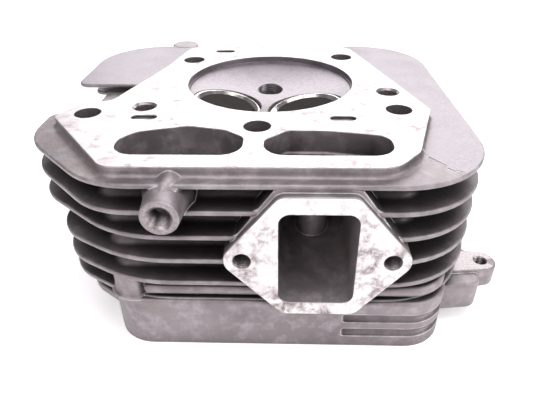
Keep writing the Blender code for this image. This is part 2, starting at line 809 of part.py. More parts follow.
def build_pivot_screw(name, train):
    """Shoulder screw: hexagon head below the pivot ball, thread up into the head."""
    label = name + "_pivot_screw"
    seat = -1.02 - GAP
    hexagon = circle(0.0, 0.0, 5.77, 6)
    bm = bmesh.new()
    add_prism(bm, hexagon, seat - 4.0, seat)
    item = place(label, finish_mesh(label, bm), PARTS, SCREW_STEEL, rocker_frame(train))
    shank = turned("join_" + label, (
        (0.0, PIVOT_SEAT + 12.0),
        (1.9, PIVOT_SEAT + 12.0),
        (2.4, PIVOT_SEAT + 11.4),
        (2.4, PIVOT_SEAT - GAP),
        (PIVOT_SCREW, PIVOT_SEAT - GAP),
        (PIVOT_SCREW, seat - 1.0),
        (0.0, seat - 1.0),
    ), CUTTERS, None, rocker_frame(train), 20, closed=False)
    shank.hide_render = True
    shank.display_type = "WIRE"
    combine(item, shank, "UNION")
    shade(item)
    return item


def build_rocker(name, train):
    frame = rocker_frame(train)
    contact = PIVOT_DEPTH - STEM_TIP - GAP
    pad_radius = 6.0
    pad = arc(VALVE_ARM, contact - pad_radius, pad_radius, radians(125.0), radians(20.0), 8)
    side = [(-PUSHROD_ARM - 5.0, 0.2), (-PUSHROD_ARM - 5.0, 4.6), (-8.0, 6.0), (12.0, 6.0), (27.0, 1.6)]
    side.extend(pad)
    side.extend([(VALVE_ARM + 4.0, -1.4), (30.0, -2.2), (12.0, 1.2), (-10.0, 1.2)])
    plan = rounded((
        (-5.0, -PUSHROD_ARM - 6.0, 4.8),
        (5.0, -PUSHROD_ARM - 6.0, 4.8),
        (6.6, -12.0, 12.0),
        (10.6, 0.0, 9.0),
        (6.6, 13.0, 12.0),
        (4.6, VALVE_ARM - 8.0, 6.0),
        (4.6, VALVE_ARM + 6.5, 2.0),
        (-4.6, VALVE_ARM + 6.5, 2.0),
        (-4.6, VALVE_ARM - 8.0, 6.0),
        (-6.6, 13.0, 12.0),
        (-10.6, 0.0, 9.0),
        (-6.6, -12.0, 12.0),
    ))
    bm = bmesh.new()
    add_prism(bm, side, -14.0, 14.0, "x")
    label = name + "_rocker_arm"
    item = place(label, finish_mesh(label, bm), PARTS, ROCKER_STEEL, frame)
    trim = tool("trim_" + label, frame, prisms=[(plan, -12.0, 16.0)])
    combine(item, trim, "INTERSECT")

    steps = 7
    radius = PIVOT_BALL + GAP
    cup = [(0.0, radius), ]
    for i in range(1, steps + 1):
        angle = pi / 2.0 - (pi / 2.0) * i / steps
        cup.append((radius * cos(angle), radius * sin(angle)))
    cup.extend([(radius, -4.0), (0.0, -4.0)])
    bowl = turned("cut_" + label + "_bowl", cup, CUTTERS, None, frame, 28, closed=False)
    bowl.hide_render = True
    bowl.display_type = "WIRE"
    combine(item, bowl, "DIFFERENCE")
    slot = [(y, x) for x, y in stadium(0.0, 0.0, 10.4, 7.2)]
    combine(item, tool("cut_" + label + "_slot", frame, prisms=[(slot, -1.0, 12.0)]), "DIFFERENCE")
    socket = turned("cut_" + label + "_socket", (
        (0.0, 9.0),
        (3.6, 9.0),
        (3.4, 3.4),
        (2.6, 2.0),
        (0.0, 1.6),
    ), CUTTERS, None, frame @ Matrix.Translation((0.0, -PUSHROD_ARM * MM, 0.0)), 20, closed=False)
    socket.hide_render = True
    socket.display_type = "WIRE"
    combine(item, socket, "DIFFERENCE")
    shade(item)
    return item


build_casting()
for train_name, train_sizes in TRAINS.items():
    build_seat(train_name, train_sizes)
    build_guide(train_name, train_sizes)
    build_spring_seat(train_name, train_sizes)
    build_valve(train_name, train_sizes)
    build_spring(train_name, train_sizes)
    build_keeper(train_name, train_sizes, "a", radians(4.0))
    build_keeper(train_name, train_sizes, "b", radians(184.0))
    build_rocker(train_name, train_sizes)
    build_pivot(train_name, train_sizes)
    build_pivot_screw(train_name, train_sizes)
build_retainer("intake", TRAINS["intake"], 13.0, 2.4)
build_retainer("exhaust", TRAINS["exhaust"], 13.6, 4.0)
build_stem_seal("intake", TRAINS["intake"])
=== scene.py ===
import json
from math import acos, atan2, ceil, cos, pi, radians, sin, sqrt, tan

import bmesh
import bpy
from mathutils import Matrix, Vector

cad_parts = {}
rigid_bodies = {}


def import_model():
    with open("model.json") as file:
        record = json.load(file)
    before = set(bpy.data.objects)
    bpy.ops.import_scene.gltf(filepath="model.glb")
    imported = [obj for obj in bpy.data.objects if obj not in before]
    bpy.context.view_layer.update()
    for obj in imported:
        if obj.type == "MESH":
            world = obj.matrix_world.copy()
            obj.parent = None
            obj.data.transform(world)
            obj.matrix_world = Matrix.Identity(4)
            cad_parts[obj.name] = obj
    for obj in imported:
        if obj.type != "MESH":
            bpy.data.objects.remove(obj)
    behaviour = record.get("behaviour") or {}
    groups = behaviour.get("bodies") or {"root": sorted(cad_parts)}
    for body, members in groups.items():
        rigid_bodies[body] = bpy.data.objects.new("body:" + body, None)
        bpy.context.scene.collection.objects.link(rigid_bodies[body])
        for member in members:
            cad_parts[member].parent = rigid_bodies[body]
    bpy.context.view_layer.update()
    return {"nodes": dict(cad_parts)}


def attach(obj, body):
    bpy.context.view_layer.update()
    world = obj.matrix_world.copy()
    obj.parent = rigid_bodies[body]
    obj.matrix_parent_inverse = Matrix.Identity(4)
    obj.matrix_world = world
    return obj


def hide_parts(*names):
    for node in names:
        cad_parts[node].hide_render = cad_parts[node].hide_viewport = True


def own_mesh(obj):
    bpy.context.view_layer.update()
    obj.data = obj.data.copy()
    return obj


# Looks of the air-cooled cylinder head, built round its CAD frame.
#
# Lengths are millimetres from the bore centre on the gasket face, as on the CAD
# part; helpers turn them into metres and move them to the row frame.

for old in list(bpy.data.objects):
    bpy.data.objects.remove(old, do_unlink=True)

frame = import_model()

MM = 0.001
BORE_CENTRE = Vector((-1.75, 8.15, 87.0))
ARC_STEP = radians(7.0)
MERGE = 0.002

# Head casting, heights above the gasket face
PLATEAU_DROP = 4.2
FIN_PITCH = 11.4
FIN_THICKNESS = 2.0
FIN_COUNT = 6
FIN_EDGE = 0.62
UPPER_CORE_FLOOR = -35.0
CORE_FLOOR = -63.5
BOX_TOP = -61.6
RIM_Z = -87.0
BOX_WALL = 5.0
FLARE = 2.4
BOX_GROOVES = (-70.4, -78.6)
GROOVE_WIDTH = 4.6

# Chamber
BORE_RADIUS = 42.0
CHAMBER_STEP = 2.6
DISH_RADIUS = 130.0
DISH_TILT = radians(1.5)

# Openings in the gasket face; the head bolt places were solved with the camera
HEAD_BOLT_RADIUS = 5.9
HEAD_BOLTS = ((-45.0, 35.4), (40.2, 40.8), (-80.5, -43.6), (58.8, -38.8), (-3.8, -57.3))
DOWEL_RADIUS = 4.65
DOWELS = ((-56.8, -35.7), (57.6, -16.2))
KEY_SLOTS = ((-54.1, -48.0), (33.0, -48.7), (-28.6, 52.9))

# Intake port flange
FLANGE_Y = -102.0
ROOT_Y = -98.9
FLANGE_BOLTS = ((-8.4, -36.4), (49.6, -36.4))
PORT_LEFT = 5.6
PORT_RIGHT = 35.7
PORT_ROOF = -14.5
PORT_FLOOR = -58.0
PORT_BOSS = (20.6, -57.0)
PORT_BOSS_RADIUS = 7.6
PORT_BOSS_TOP = -33.0

# Exhaust port flange
EXHAUST_X = -88.0
EXHAUST_CENTRE = (-10.0, -24.5)
EXHAUST_PORT_RADIUS = 11.0
EXHAUST_BOLTS = ((8.0, -24.5), (-28.0, -24.5))

# Threaded boss and mounting ear
BOSS = (-36.0, -12.7)
BOSS_Y = -108.0
BOSS_RADIUS = 8.25
EAR_HOLE = (100.5, -64.5)
EAR_HOLE_RADIUS = 3.0

# Spark plug, M14 with 19 mm reach
PLUG_POINT = (-0.4, 13.0, -9.3)
PLUG_TILT = radians(17.0)
PLUG_RADIUS = 6.6
PLUG_REACH = 19.0
PLUG_WELL_RADIUS = 12.5

# Handling nicks in the top fin's plate, each from one end to the other; the third lies
# under the plateau, where it leaves a sealed void and does not show
NICKS = (
    ((61.9, -70.0), (63.0, -74.2)),
    ((64.0, -76.6), (68.6, -83.0)),
    ((58.4, -78.2), (58.0, -80.6)),
    ((68.8, -85.4), (72.2, -90.0)),
    ((71.4, -86.8), (73.6, -88.2)),
)

# Rocker cover screws, up from the rim
COVER_SCREWS = ((-57.5, -86.5), (68.5, -86.5), (69.0, 5.0), (-58.0, 5.0))

# Valve trains: seat centre, lean of the valve axis about Y, seat sizes, pushrod place
TRAINS = {
    "intake": {
        "seat": (18.0, -14.5, -8.8),
        "lean": radians(-10.0),
        "ring": 18.6,
        "cone": 17.4,
        "throat": 14.8,
        "pushrod": (44.8, -74.2),
    },
    "exhaust": {
        "seat": (-21.5, -10.0, -8.4),
        "lean": radians(12.0),
        "ring": 17.2,
        "cone": 15.9,
        "throat": 13.2,
        "pushrod": (-42.5, -72.0),
    },
}
SEAT_HEIGHT = 6.0
GUIDE_RADIUS = 6.2
STEM_RADIUS = 3.0
DECK = 34.0
WELL_RADIUS = 15.8
SPRING_START = 35.9
SPRING_END = 59.6
SPRING_MEAN_RADIUS = 11.0
SPRING_WIRE = 2.8
SPRING_TURNS = 4.75
STEM_TIP = 68.0
PIVOT_DEPTH = 72.0
PIVOT_SEAT = 9.8
VALVE_ARM = 36.0
GAP = 0.3

# Camera, solved outside this script from points picked on the photograph
CAMERA_PLACE = Vector((8.0, -249.1, 85.7))
CAMERA_YAW = radians(-2.02)
CAMERA_PITCH = radians(32.83)
CAMERA_ROLL = radians(-0.62)
CAMERA_LENS = 33.0

# ---------------------------------------------------------------- flat outlines


def arc(cx, cy, radius, start, end, steps):
    points = []
    for i in range(steps + 1):
        angle = start + (end - start) * i / steps
        points.append((cx + radius * cos(angle), cy + radius * sin(angle)))
    return points


def circle(cx, cy, radius, steps=64):
    return arc(cx, cy, radius, 0.0, 2.0 * pi, steps)[:-1]


def rounded(corners):
    """Outline through corners (x, y, radius), each corner replaced by an arc."""
    points = []
    for i, (x, y, radius) in enumerate(corners):
        here = Vector((x, y))
        before = (Vector(corners[i - 1][:2]) - here).normalized()
        after = (Vector(corners[(i + 1) % len(corners)][:2]) - here).normalized()
        opening = acos(max(-1.0, min(1.0, before.dot(after))))
        if radius <= 0.0 or opening > pi - 0.01:
            points.append((x, y))
            continue
        reach = radius / tan(opening / 2.0)
        centre = here + (before + after).normalized() * (radius / sin(opening / 2.0))
        first = here + before * reach - centre
        last = here + after * reach - centre
        start = atan2(first.y, first.x)
        sweep = atan2(first.x * last.y - first.y * last.x, first.dot(last))
        steps = max(3, ceil(abs(sweep) / ARC_STEP))
        points.extend(arc(centre.x, centre.y, radius, start, start + sweep, steps))
    return points


def hull(circles, steps=56):
    """Convex outline around circles (x, y, radius)."""
    cloud = []
    for x, y, radius in circles:
        cloud.extend(circle(x, y, radius, steps))
    cloud = sorted(set((round(x, 5), round(y, 5)) for x, y in cloud))

    def chain(points):
        side = []
        for p in points:
            while len(side) > 1:
                ax, ay = side[-1][0] - side[-2][0], side[-1][1] - side[-2][1]
                bx, by = p[0] - side[-2][0], p[1] - side[-2][1]
                if ax * by - ay * bx > 1e-6:
                    break
                side.pop()
            side.append(p)
        return side[:-1]

    return chain(cloud) + chain(list(reversed(cloud)))


def stadium(cx, cy, length, width, steps=14):
    half = (length - width) / 2.0
    right = arc(cx + half, cy, width / 2.0, -pi / 2.0, pi / 2.0, steps)
    left = arc(cx - half, cy, width / 2.0, pi / 2.0, 1.5 * pi, steps)
    return right + left


def inset(outline, distance):
    """Outline moved inward by a distance; a negative distance moves it outward."""
    count = len(outline)
    area = sum(outline[i - 1][0] * outline[i][1] - outline[i][0] * outline[i - 1][1] for i in range(count))
    side = 1.0 if area > 0.0 else -1.0
    moved = []
    for i in range(count):
        here = Vector(outline[i])
        before = (here - Vector(outline[i - 1])).normalized()
        after = (Vector(outline[(i + 1) % count]) - here).normalized()
        normal = Vector((-before.y, before.x)) * side
        mitre = (normal + Vector((-after.y, after.x)) * side).normalized()
        moved.append(tuple(here + mitre * (distance / max(0.4, mitre.dot(normal)))))
    return moved


def span(outline, level):
    """Least and greatest first coordinate of an outline at one level of the second."""
    crossings = []
    for i in range(len(outline)):
        (ax, ay), (bx, by) = outline[i - 1], outline[i]
        if (ay - level) * (by - level) < 0.0:
            crossings.append(ax + (bx - ax) * (level - ay) / (by - ay))
    return min(crossings), max(crossings)


# ---------------------------------------------------------------- solids

ALONG = {
    "x": Matrix(((0, 0, 1), (1, 0, 0), (0, 1, 0))),
    "y": Matrix(((1, 0, 0), (0, 0, 1), (0, 1, 0))),
    "z": Matrix.Identity(3),
}


def add_loft(bm, rings, closed=False):
    """Skin over rings of points with equal counts, capped unless closed."""
    levels = [[bm.verts.new(Vector(p) * MM) for p in ring] for ring in rings]
    count = len(levels[0])
    spans = len(levels) if closed else len(levels) - 1
    for a in range(spans):
        lower, upper = levels[a], levels[(a + 1) % len(levels)]
        for i in range(count):
            j = (i + 1) % count
            bm.faces.new((lower[i], lower[j], upper[j], upper[i]))
    if not closed:
        bm.faces.new(levels[0])
        bm.faces.new(levels[-1])


def wall(low, high, low_round, high_round, steps=4):
    """Levels and insets up a wall whose ends are rounded, or flared where negative."""
    sunk = 0.25
    pairs = []
    if low_round < 0.0:
        pairs.append((low - sunk, low_round))
    for k in range(steps + 1 if low_round else 1):
        turn = pi / 2.0 * k / steps
        pairs.append((low + abs(low_round) * (1.0 - cos(turn)), low_round * (1.0 - sin(turn))))
    for k in range(steps + 1 if high_round else 1):
        turn = pi / 2.0 * (1.0 - k / steps)
        pairs.append((high - abs(high_round) * (1.0 - cos(turn)), high_round * (1.0 - sin(turn))))
    if high_round < 0.0:
        pairs.append((high + sunk, high_round))
    return pairs


def add_slab(bm, outline, low, high, axis="z", low_round=0.0, high_round=0.0):
    """Prism between two levels with rounded or flared ends; the outline lies in the other two axes."""
    turn = ALONG[axis]
    rings = []
    for level, distance in wall(low, high, low_round, high_round):
        shifted = inset(outline, distance) if distance else outline
        rings.append([turn @ Vector((x, y, level)) for x, y in shifted])
    add_loft(bm, rings)


def finish_mesh(name, bm):
    bmesh.ops.recalc_face_normals(bm, faces=bm.faces)
    mesh = bpy.data.meshes.new(name)
    bm.to_mesh(mesh)
    bm.free()
    return mesh


def place(name, mesh, local=None):
    item = bpy.data.objects.new(name, mesh)
    bpy.context.scene.collection.objects.link(item)
    item.matrix_world = Matrix.Translation(BORE_CENTRE * MM) @ (local or Matrix.Identity(4))
    return item


def turned_mesh(name, profile, steps=96, closed=True):
    """Body of revolution about local Z from a profile of radius and height."""
    bm = bmesh.new()
    rings = []
    for i in range(steps):
        angle = 2.0 * pi * i / steps
        rings.append([bm.verts.new(Vector((r * cos(angle), r * sin(angle), z)) * MM) for r, z in profile])
    count = len(profile)
    for i in range(steps):
        this, following = rings[i], rings[(i + 1) % steps]
        for k in range(count if closed else count - 1):
            m = (k + 1) % count
            bm.faces.new((this[k], following[k], following[m], this[m]))
    bmesh.ops.remove_doubles(bm, verts=bm.verts, dist=1e-7)
    bmesh.ops.dissolve_degenerate(bm, edges=bm.edges, dist=1e-7)
    return finish_mesh(name, bm)


class Casting:
    """A body that grows and is cut step by step; each step is applied and cleaned of slivers."""

    def __init__(self, name):
        self.name = name
        self.body = None

    def step(self, label, mesh, operation, local=None):
        item = place(label, mesh, local)
        if self.body is None:
            self.body = item
            item.name = self.name
            return
        modifier = self.body.modifiers.new(label, "BOOLEAN")
        modifier.operation = operation
        modifier.solver = "EXACT"
        modifier.object = item
        bpy.context.view_layer.update()
        graph = bpy.context.evaluated_depsgraph_get()
        bm = bmesh.new()
        bm.from_object(self.body, graph)
        bmesh.ops.remove_doubles(bm, verts=bm.verts, dist=MERGE * MM)
        bmesh.ops.dissolve_degenerate(bm, edges=bm.edges, dist=MERGE * MM)
        self.body.modifiers.remove(modifier)
        bm.to_mesh(self.body.data)
        bm.free()
        bpy.data.objects.remove(item, do_unlink=True)

    def slabs(self, label, slabs, operation="UNION", local=None):
        bm = bmesh.new()
        for slab in slabs:
            add_slab(bm, *slab)
        self.step(label, finish_mesh(label, bm), operation, local)

    def cut(self, label, slabs, local=None):
        self.slabs(label, slabs, "DIFFERENCE", local)

    def turn(self, label, profile, operation, local=None, steps=96):
        self.step(label, turned_mesh(label, profile, steps, closed=False), operation, local)


def soften(item, angle=radians(30.0)):
    item.data.shade_smooth()
    item.data.set_sharp_from_angle(angle=angle)
    weighted = item.modifiers.new("even_normals", "WEIGHTED_NORMAL")
    weighted.keep_sharp = True


# ---------------------------------------------------------------- frames of the valve trains


def valve_frame(train):
    turn = Matrix.Rotation(train["lean"], 4, "Y")
    return Matrix.Translation(Vector(train["seat"]) * MM) @ turn


def rocker_frame(train):
    """Origin at the pivot, X along the hinge, Y toward the valve, Z toward the chamber."""
    local = valve_frame(train)
    up = (local.to_3x3() @ Vector((0.0, 0.0, 1.0))).normalized()
    level = local @ Vector((0.0, 0.0, -PIVOT_DEPTH * MM))
    across = level - Vector((train["pushrod"][0] * MM, train["pushrod"][1] * MM, level.z))
    toward = (across - up * across.dot(up)).normalized()
    hinge = toward.cross(up).normalized()
    turn = Matrix((hinge, toward, up)).transposed().to_4x4()
    return Matrix.Translation(level - toward * VALVE_ARM * MM) @ turn


def plug_frame():
    turn = Matrix.Rotation(PLUG_TILT, 4, "X")
    return Matrix.Translation(Vector(PLUG_POINT) * MM) @ turn


def thread_profile(radius, depth, low, sink, pitch):
    """Cutter profile of a tapped hole: crests and roots along the wall, countersunk at the top."""
    top = 1.0
    profile = [(0.0, top), (radius + sink, top), (radius + sink, 0.0), (radius, -sink)]
    level = -sink
    while level - pitch > low:
        profile.append((radius + depth, level - pitch / 2.0))
        profile.append((radius, level - pitch))
        level -= pitch
    profile.append((radius, low))
    profile.append((0.0, low - 1.5))
    return profile


# ---------------------------------------------------------------- head casting


def fin_base(index):
    return -PLATEAU_DROP - FIN_THICKNESS - FIN_PITCH * index


# Left reach, front of the rear lobe, front edge, and the front left corner: how far it is
# cut back and across, and the radii of the cut's two ends
FINS = (
    (-101.5, 5.5, -99.0, 37.9, 37.9, 32.0, 36.0),
    (-101.0, 25.0, -99.0, 37.4, 37.4, 32.0, 32.0),
    (-99.3, 40.0, -99.0, 34.0, 42.0, 26.0, 50.0),
    (-90.1, 40.0, -99.0, 21.0, 36.0, 26.0, 58.0),
    (-89.6, 40.0, -99.0, 20.0, 36.0, 26.0, 58.0),
    (-90.5, 40.0, -96.4, 21.0, 36.0, 26.0, 58.0),
)


def fin_outline(left, wing, front, back, across, left_radius, front_radius):
    return rounded((
        (left + across, front, front_radius),
        (88.8, front, 39.0),
        (88.8, 79.5, 38.0),
        (left - 2.5, 79.5, min(35.0, 72.0 - wing)),
        (left - 2.5, wing, 6.0),
        (-66.0, wing, 3.0),
        (-66.0, -23.5, 4.0),
        (-84.0, -25.0, 6.0),
        (left, -36.0, 6.0),
        (left, front + back, left_radius),
    ))


def box_outline(shrink=0.0):
    return rounded((
        (-68.0 + shrink, -98.0 + shrink, 18.0 - shrink),
        (79.0 - shrink, -98.0 + shrink, 18.0 - shrink),
        (79.0 - shrink, 15.0 - shrink, 12.0 - shrink),
        (-68.0 + shrink, 15.0 - shrink, 12.0 - shrink),
    ))


UPPER_CORE = (
    (-64.0, -88.0, 6.0),
    (57.0, -88.0, 6.0),
    (66.0, -48.0, 8.0),
    (66.0, -30.0, 8.0),
    (54.0, 0.0, 10.0),
    (51.0, 50.0, 10.0),
    (-50.0, 50.0, 10.0),
    (-56.0, 5.0, 6.0),
    (-64.0, -30.0, 6.0),
)
LOWER_CORE = (
    (-64.0, -88.0, 6.0),
    (57.0, -88.0, 6.0),
    (66.0, -48.0, 8.0),
    (62.0, 13.0, 8.0),
    (-58.0, 13.0, 8.0),
)
PLATEAU = (
    (-59.4, -93.2, 9.0),
    (48.5, -93.2, 14.0),
    (59.5, -80.0, 12.0),
    (73.0, -38.5, 3.5),
    (63.0, 0.0, 30.0),
    (46.0, 62.0, 9.0),
    (-50.5, 62.0, 9.0),
    (-58.5, 22.0, 26.0),
    (-74.0, -27.5, 5.0),
    (-87.0, -33.5, 7.0),
    (-95.0, -46.8, 5.0),
)
FLANGE = (
    (FLANGE_BOLTS[0][0], FLANGE_BOLTS[0][1], 7.3),
    (FLANGE_BOLTS[1][0], FLANGE_BOLTS[1][1], 7.3),
    (8.5, -12.7, 5.5),
    (32.0, -12.7, 5.5),
    (9.5, -58.5, 5.5),
    (34.0, -58.5, 5.5),
)
FLANGE_ROOT = (
    (FLANGE_BOLTS[0][0] + 1.0, FLANGE_BOLTS[0][1], 8.0),
    (FLANGE_BOLTS[1][0] - 1.4, FLANGE_BOLTS[1][1], 7.5),
    (9.5, -13.6, 8.5),
    (31.0, -13.6, 8.5),
    (9.5, -57.0, 6.0),
    (34.0, -57.0, 6.0),
)


def fin_gaps():
    """Lower and upper level of each air gap between two fins."""
    return [(fin_base(i + 1) + FIN_THICKNESS, fin_base(i)) for i in range(FIN_COUNT - 1)]


def gap_web(root, low, high, radius=1.7, steps=5):
    """Front view of the flange root in one air gap, flared onto both fins."""
    left, right = [], []
    for k in range(steps + 1):
        turn = pi / 2.0 * k / steps
        level = low + radius * (1.0 - cos(turn))
        least, greatest = span(root, level)
        left.append((least - radius * (1.0 - sin(turn)), level))
        right.append((greatest + radius * (1.0 - sin(turn)), level))
    for k in range(steps + 1):
        turn = pi / 2.0 * (1.0 - k / steps)
        level = high - radius * (1.0 - cos(turn))
        least, greatest = span(root, level)
        left.append((least - radius * (1.0 - sin(turn)), level))
        right.append((greatest + radius * (1.0 - sin(turn)), level))
    left.insert(0, (left[0][0], low - 0.3))
    left.append((left[-1][0], high + 0.3))
    right.insert(0, (right[0][0], low - 0.3))
    right.append((right[-1][0], high + 0.3))
    return right + left[::-1]


def grow_cooling_body(casting):
    upper = rounded(UPPER_CORE)
    lower = rounded(LOWER_CORE)
    casting.slabs("upper_core", [(upper, UPPER_CORE_FLOOR, -PLATEAU_DROP - 0.6)])
    casting.slabs("lower_core", [(lower, CORE_FLOOR, UPPER_CORE_FLOOR + 1.0)])
    fins = []
    for i, sizes in enumerate(FINS):
        base = fin_base(i)
        fins.append((fin_outline(*sizes), base, base + FIN_THICKNESS, "z", FIN_EDGE, FIN_EDGE))
    lobe = rounded(((-62.0, -88.0, 4.0), (-62.0, -30.0, 4.0), (-84.0, -30.0, 8.0), (-84.0, -72.0, 16.0)))
    fins.append((lobe, -77.0, -72.6, "z", 1.2, 1.2))
    casting.slabs("fins", fins)

    gaps = fin_gaps()
    upper_flares = [(upper, low, high, "z", -FLARE, -FLARE) for low, high in gaps[:2]]
    upper_flares.append((upper, UPPER_CORE_FLOOR, gaps[2][1], "z", 0.0, -FLARE))
    casting.slabs("upper_flares", upper_flares)
    lower_flares = [(lower, low, high, "z", -FLARE, -FLARE) for low, high in gaps[3:]]
    lower_flares.append((lower, gaps[2][0], UPPER_CORE_FLOOR + 0.5, "z", -FLARE, 0.0))
    casting.slabs("lower_flares", lower_flares)

    for n, (x, y, radius) in enumerate((*(b + (10.5,) for b in HEAD_BOLTS[:2]), HEAD_BOLTS[2] + (10.0,))):
        shaft = [(circle(x, y, radius, 48), -66.0, -4.6)]
        casting.slabs(f"bolt_column_{n}", shaft)
        flares = [(circle(x, y, radius + 0.05, 48), low, high, "z", -FLARE, -FLARE) for low, high in gaps]
        casting.slabs(f"bolt_column_flares_{n}", flares)
    knob = [(circle(-58.8, 83.5, 8.2, 40), -22.0, -PLATEAU_DROP + 0.4, "z", 1.0, 1.0)]
    casting.slabs("rear_knob", knob)
    casting.slabs("plug_boss", [(circle(0.0, 0.0, 17.5), -PLUG_REACH - 7.0, -4.0)], "UNION", plug_frame())
    plateau = [(rounded(PLATEAU), -PLATEAU_DROP, 0.0, "z", -1.8, 0.25)]
    casting.slabs("plateau", plateau)


def grow_rocker_box(casting):
    casting.slabs("rocker_box", [(box_outline(), RIM_Z, BOX_TOP, "z", 0.4, 1.6)])
    corner = rounded((
        (-66.1, -96.2, 11.0),
        (-53.5, -96.2, 2.4),
        (-50.9, -92.7, 3.4),
        (-44.0, -92.7, 0.0),
        (-44.0, -82.6, 0.0),
        (-66.1, -82.6, 0.0),
    ))
    casting.slabs("corner_post", [(corner, BOX_TOP - 0.3, -50.4, "z", -1.7, 1.2)])
    casting.slabs("upper_wall", [(box_outline(4.6), BOX_TOP - 0.6, -51.2, "z", -1.6, -1.6)])
    bead = rounded(((-51.0, -97.0, 2.9), (77.8, -97.0, 17.0), (77.8, -58.0, 0.0), (-51.0, -58.0, 0.0)))
    casting.slabs("bead", [(bead, -59.4, -54.4, "z", 2.3, 2.3)])
    block = rounded(((76.0, -82.4, 0.0), (97.0, -80.0, 6.0), (97.0, -52.0, 7.0), (76.0, -48.0, 0.0)))
    casting.slabs("ear_block", [(block, -80.0, -66.2, "z", 1.0, 1.4)])
    ear = hull(((84.0, EAR_HOLE[1], 8.5), (EAR_HOLE[0], EAR_HOLE[1], 7.0)))
    casting.slabs("ear", [(ear, -75.0, -65.0, "z", 0.8, 0.8)])


def grow_port_flanges(casting):
    flange = hull(FLANGE)
    casting.slabs("intake_flange", [(flange, FLANGE_Y, -84.0, "y", 0.5, 0.0)])
    root = hull(FLANGE_ROOT, 48)
    casting.slabs("flange_root", [(root, ROOT_Y, -85.0, "y", 1.6, 0.0)])
    webs = [(gap_web(root, low, high), ROOT_Y + 0.7, -86.3, "y") for low, high in fin_gaps()[:3]]
    casting.slabs("flange_webs", webs)
    exhaust = rounded(((-34.5, -40.5, 7.0), (14.5, -40.5, 7.0), (14.5, -8.6, 7.0), (-34.5, -8.6, 7.0)))
    casting.slabs("exhaust_flange", [(exhaust, EXHAUST_X, -44.0, "x", 0.6, 0.0)])
    casting.step("threaded_boss", boss_mesh(), "UNION")
    casting.step("boss_ridge", ridge_mesh(), "UNION")


def boss_mesh():
    """Threaded boss, widening from its end face to the fins and the front lip."""
    end = BOSS_RADIUS - 1.0
    rings = [(BOSS_Y, end - 0.7), (BOSS_Y + 0.2, end - 0.25), (BOSS_Y + 0.7, end)]
    for k in range(1, 15):
        share = k / 14.0
        rings.append((BOSS_Y + 0.7 + 15.3 * share, end + 1.2 * share + 1.7 * share ** 4))
    rings.append((-88.0, end + 2.9))
    bm = bmesh.new()
    add_loft(bm, [[(x, y, z) for x, z in circle(*BOSS, radius, 72)] for y, radius in rings])
    return finish_mesh("threaded_boss", bm)


# Ridge from the boss to the plateau: place along Y, shift from the boss axis, half width,
# height of its foot and its crest
BOSS_RIDGE = (
    (-105.0, 0.0, 3.6, -6.9, -5.6),
    (-102.5, 0.2, 3.8, -6.7, -4.9),
    (-100.0, 0.7, 4.2, -6.6, -4.1),
    (-98.0, 1.2, 4.8, -4.6, -3.1),
    (-96.0, 1.6, 5.4, -4.4, -2.4),
    (-94.0, 1.8, 6.2, -4.4, -1.8),
    (-92.6, 1.8, 6.8, -4.4, -1.3),
    (-91.0, 1.8, 7.2, -4.4, -1.1),
)


def ridge_mesh():
    """Soft ridge from the top of the boss over the front lip to the plateau."""
    steps = 18
    rings = []
    for y, shift, half, foot, crest in BOSS_RIDGE:
        middle = BOSS[0] + shift
        ring = [(middle - half, y, -9.0), (middle + half, y, -9.0)]
        for k in range(steps + 1):
            across = half * (1.0 - 2.0 * k / steps)
            swell = 0.5 + 0.5 * cos(pi * across / half)
            ring.append((middle + across, y, foot + (crest - foot) * swell))
        rings.append(ring)
    bm = bmesh.new()
    add_loft(bm, rings)
    return finish_mesh("boss_ridge", bm)


def groove_mesh(name, level):
    """Round-bottomed channel along the front right corner of the rocker box, running out at its ends."""
    radius = GROOVE_WIDTH / 2.0
    path = [(x, -98.0) for x in (33.0, 33.6, 34.6, 42.0, 50.0)]
    path.extend(arc(61.0, -80.0, 18.0, -pi / 2.0, -0.34, 12))
    rings = []
    for i, (x, y) in enumerate(path):
        before = Vector(path[max(i - 1, 0)])
        after = Vector(path[min(i + 1, len(path) - 1)])
        along = (after - before).normalized()
        out = Vector((along.y, -along.x))
        fade = (0.72, 0.96, 1.0)[min(i, len(path) - 1 - i, 2)]
        ring = []
        for px, pz in circle(0.0, 0.0, radius * fade, 24):
            ring.append((x + out.x * px, y + out.y * px, level + pz))
        rings.append(ring)
    bm = bmesh.new()
    add_loft(bm, rings)
    return finish_mesh(name, bm)


def cut_rocker_box(casting):
    casting.cut("rocker_cavity", [(box_outline(BOX_WALL), RIM_Z - 5.0, CORE_FLOOR, "z", 0.0, 1.5)])
    bosses = [(circle(x, y, 6.5, 40), RIM_Z, CORE_FLOOR + 1.0) for x, y in COVER_SCREWS]
    casting.slabs("cover_bosses", bosses)
    for name, train in TRAINS.items():
        pad = [(circle(0.0, 0.0, 7.5, 40), PIVOT_SEAT, PIVOT_SEAT + 14.0, "z", 0.4, 0.0)]
        casting.slabs(name + "_pivot_pad", pad, "UNION", rocker_frame(train))
    for n, level in enumerate(BOX_GROOVES):
        channel = groove_mesh(f"box_groove_{n}", level)
        casting.step(f"box_groove_{n}", channel, "DIFFERENCE")


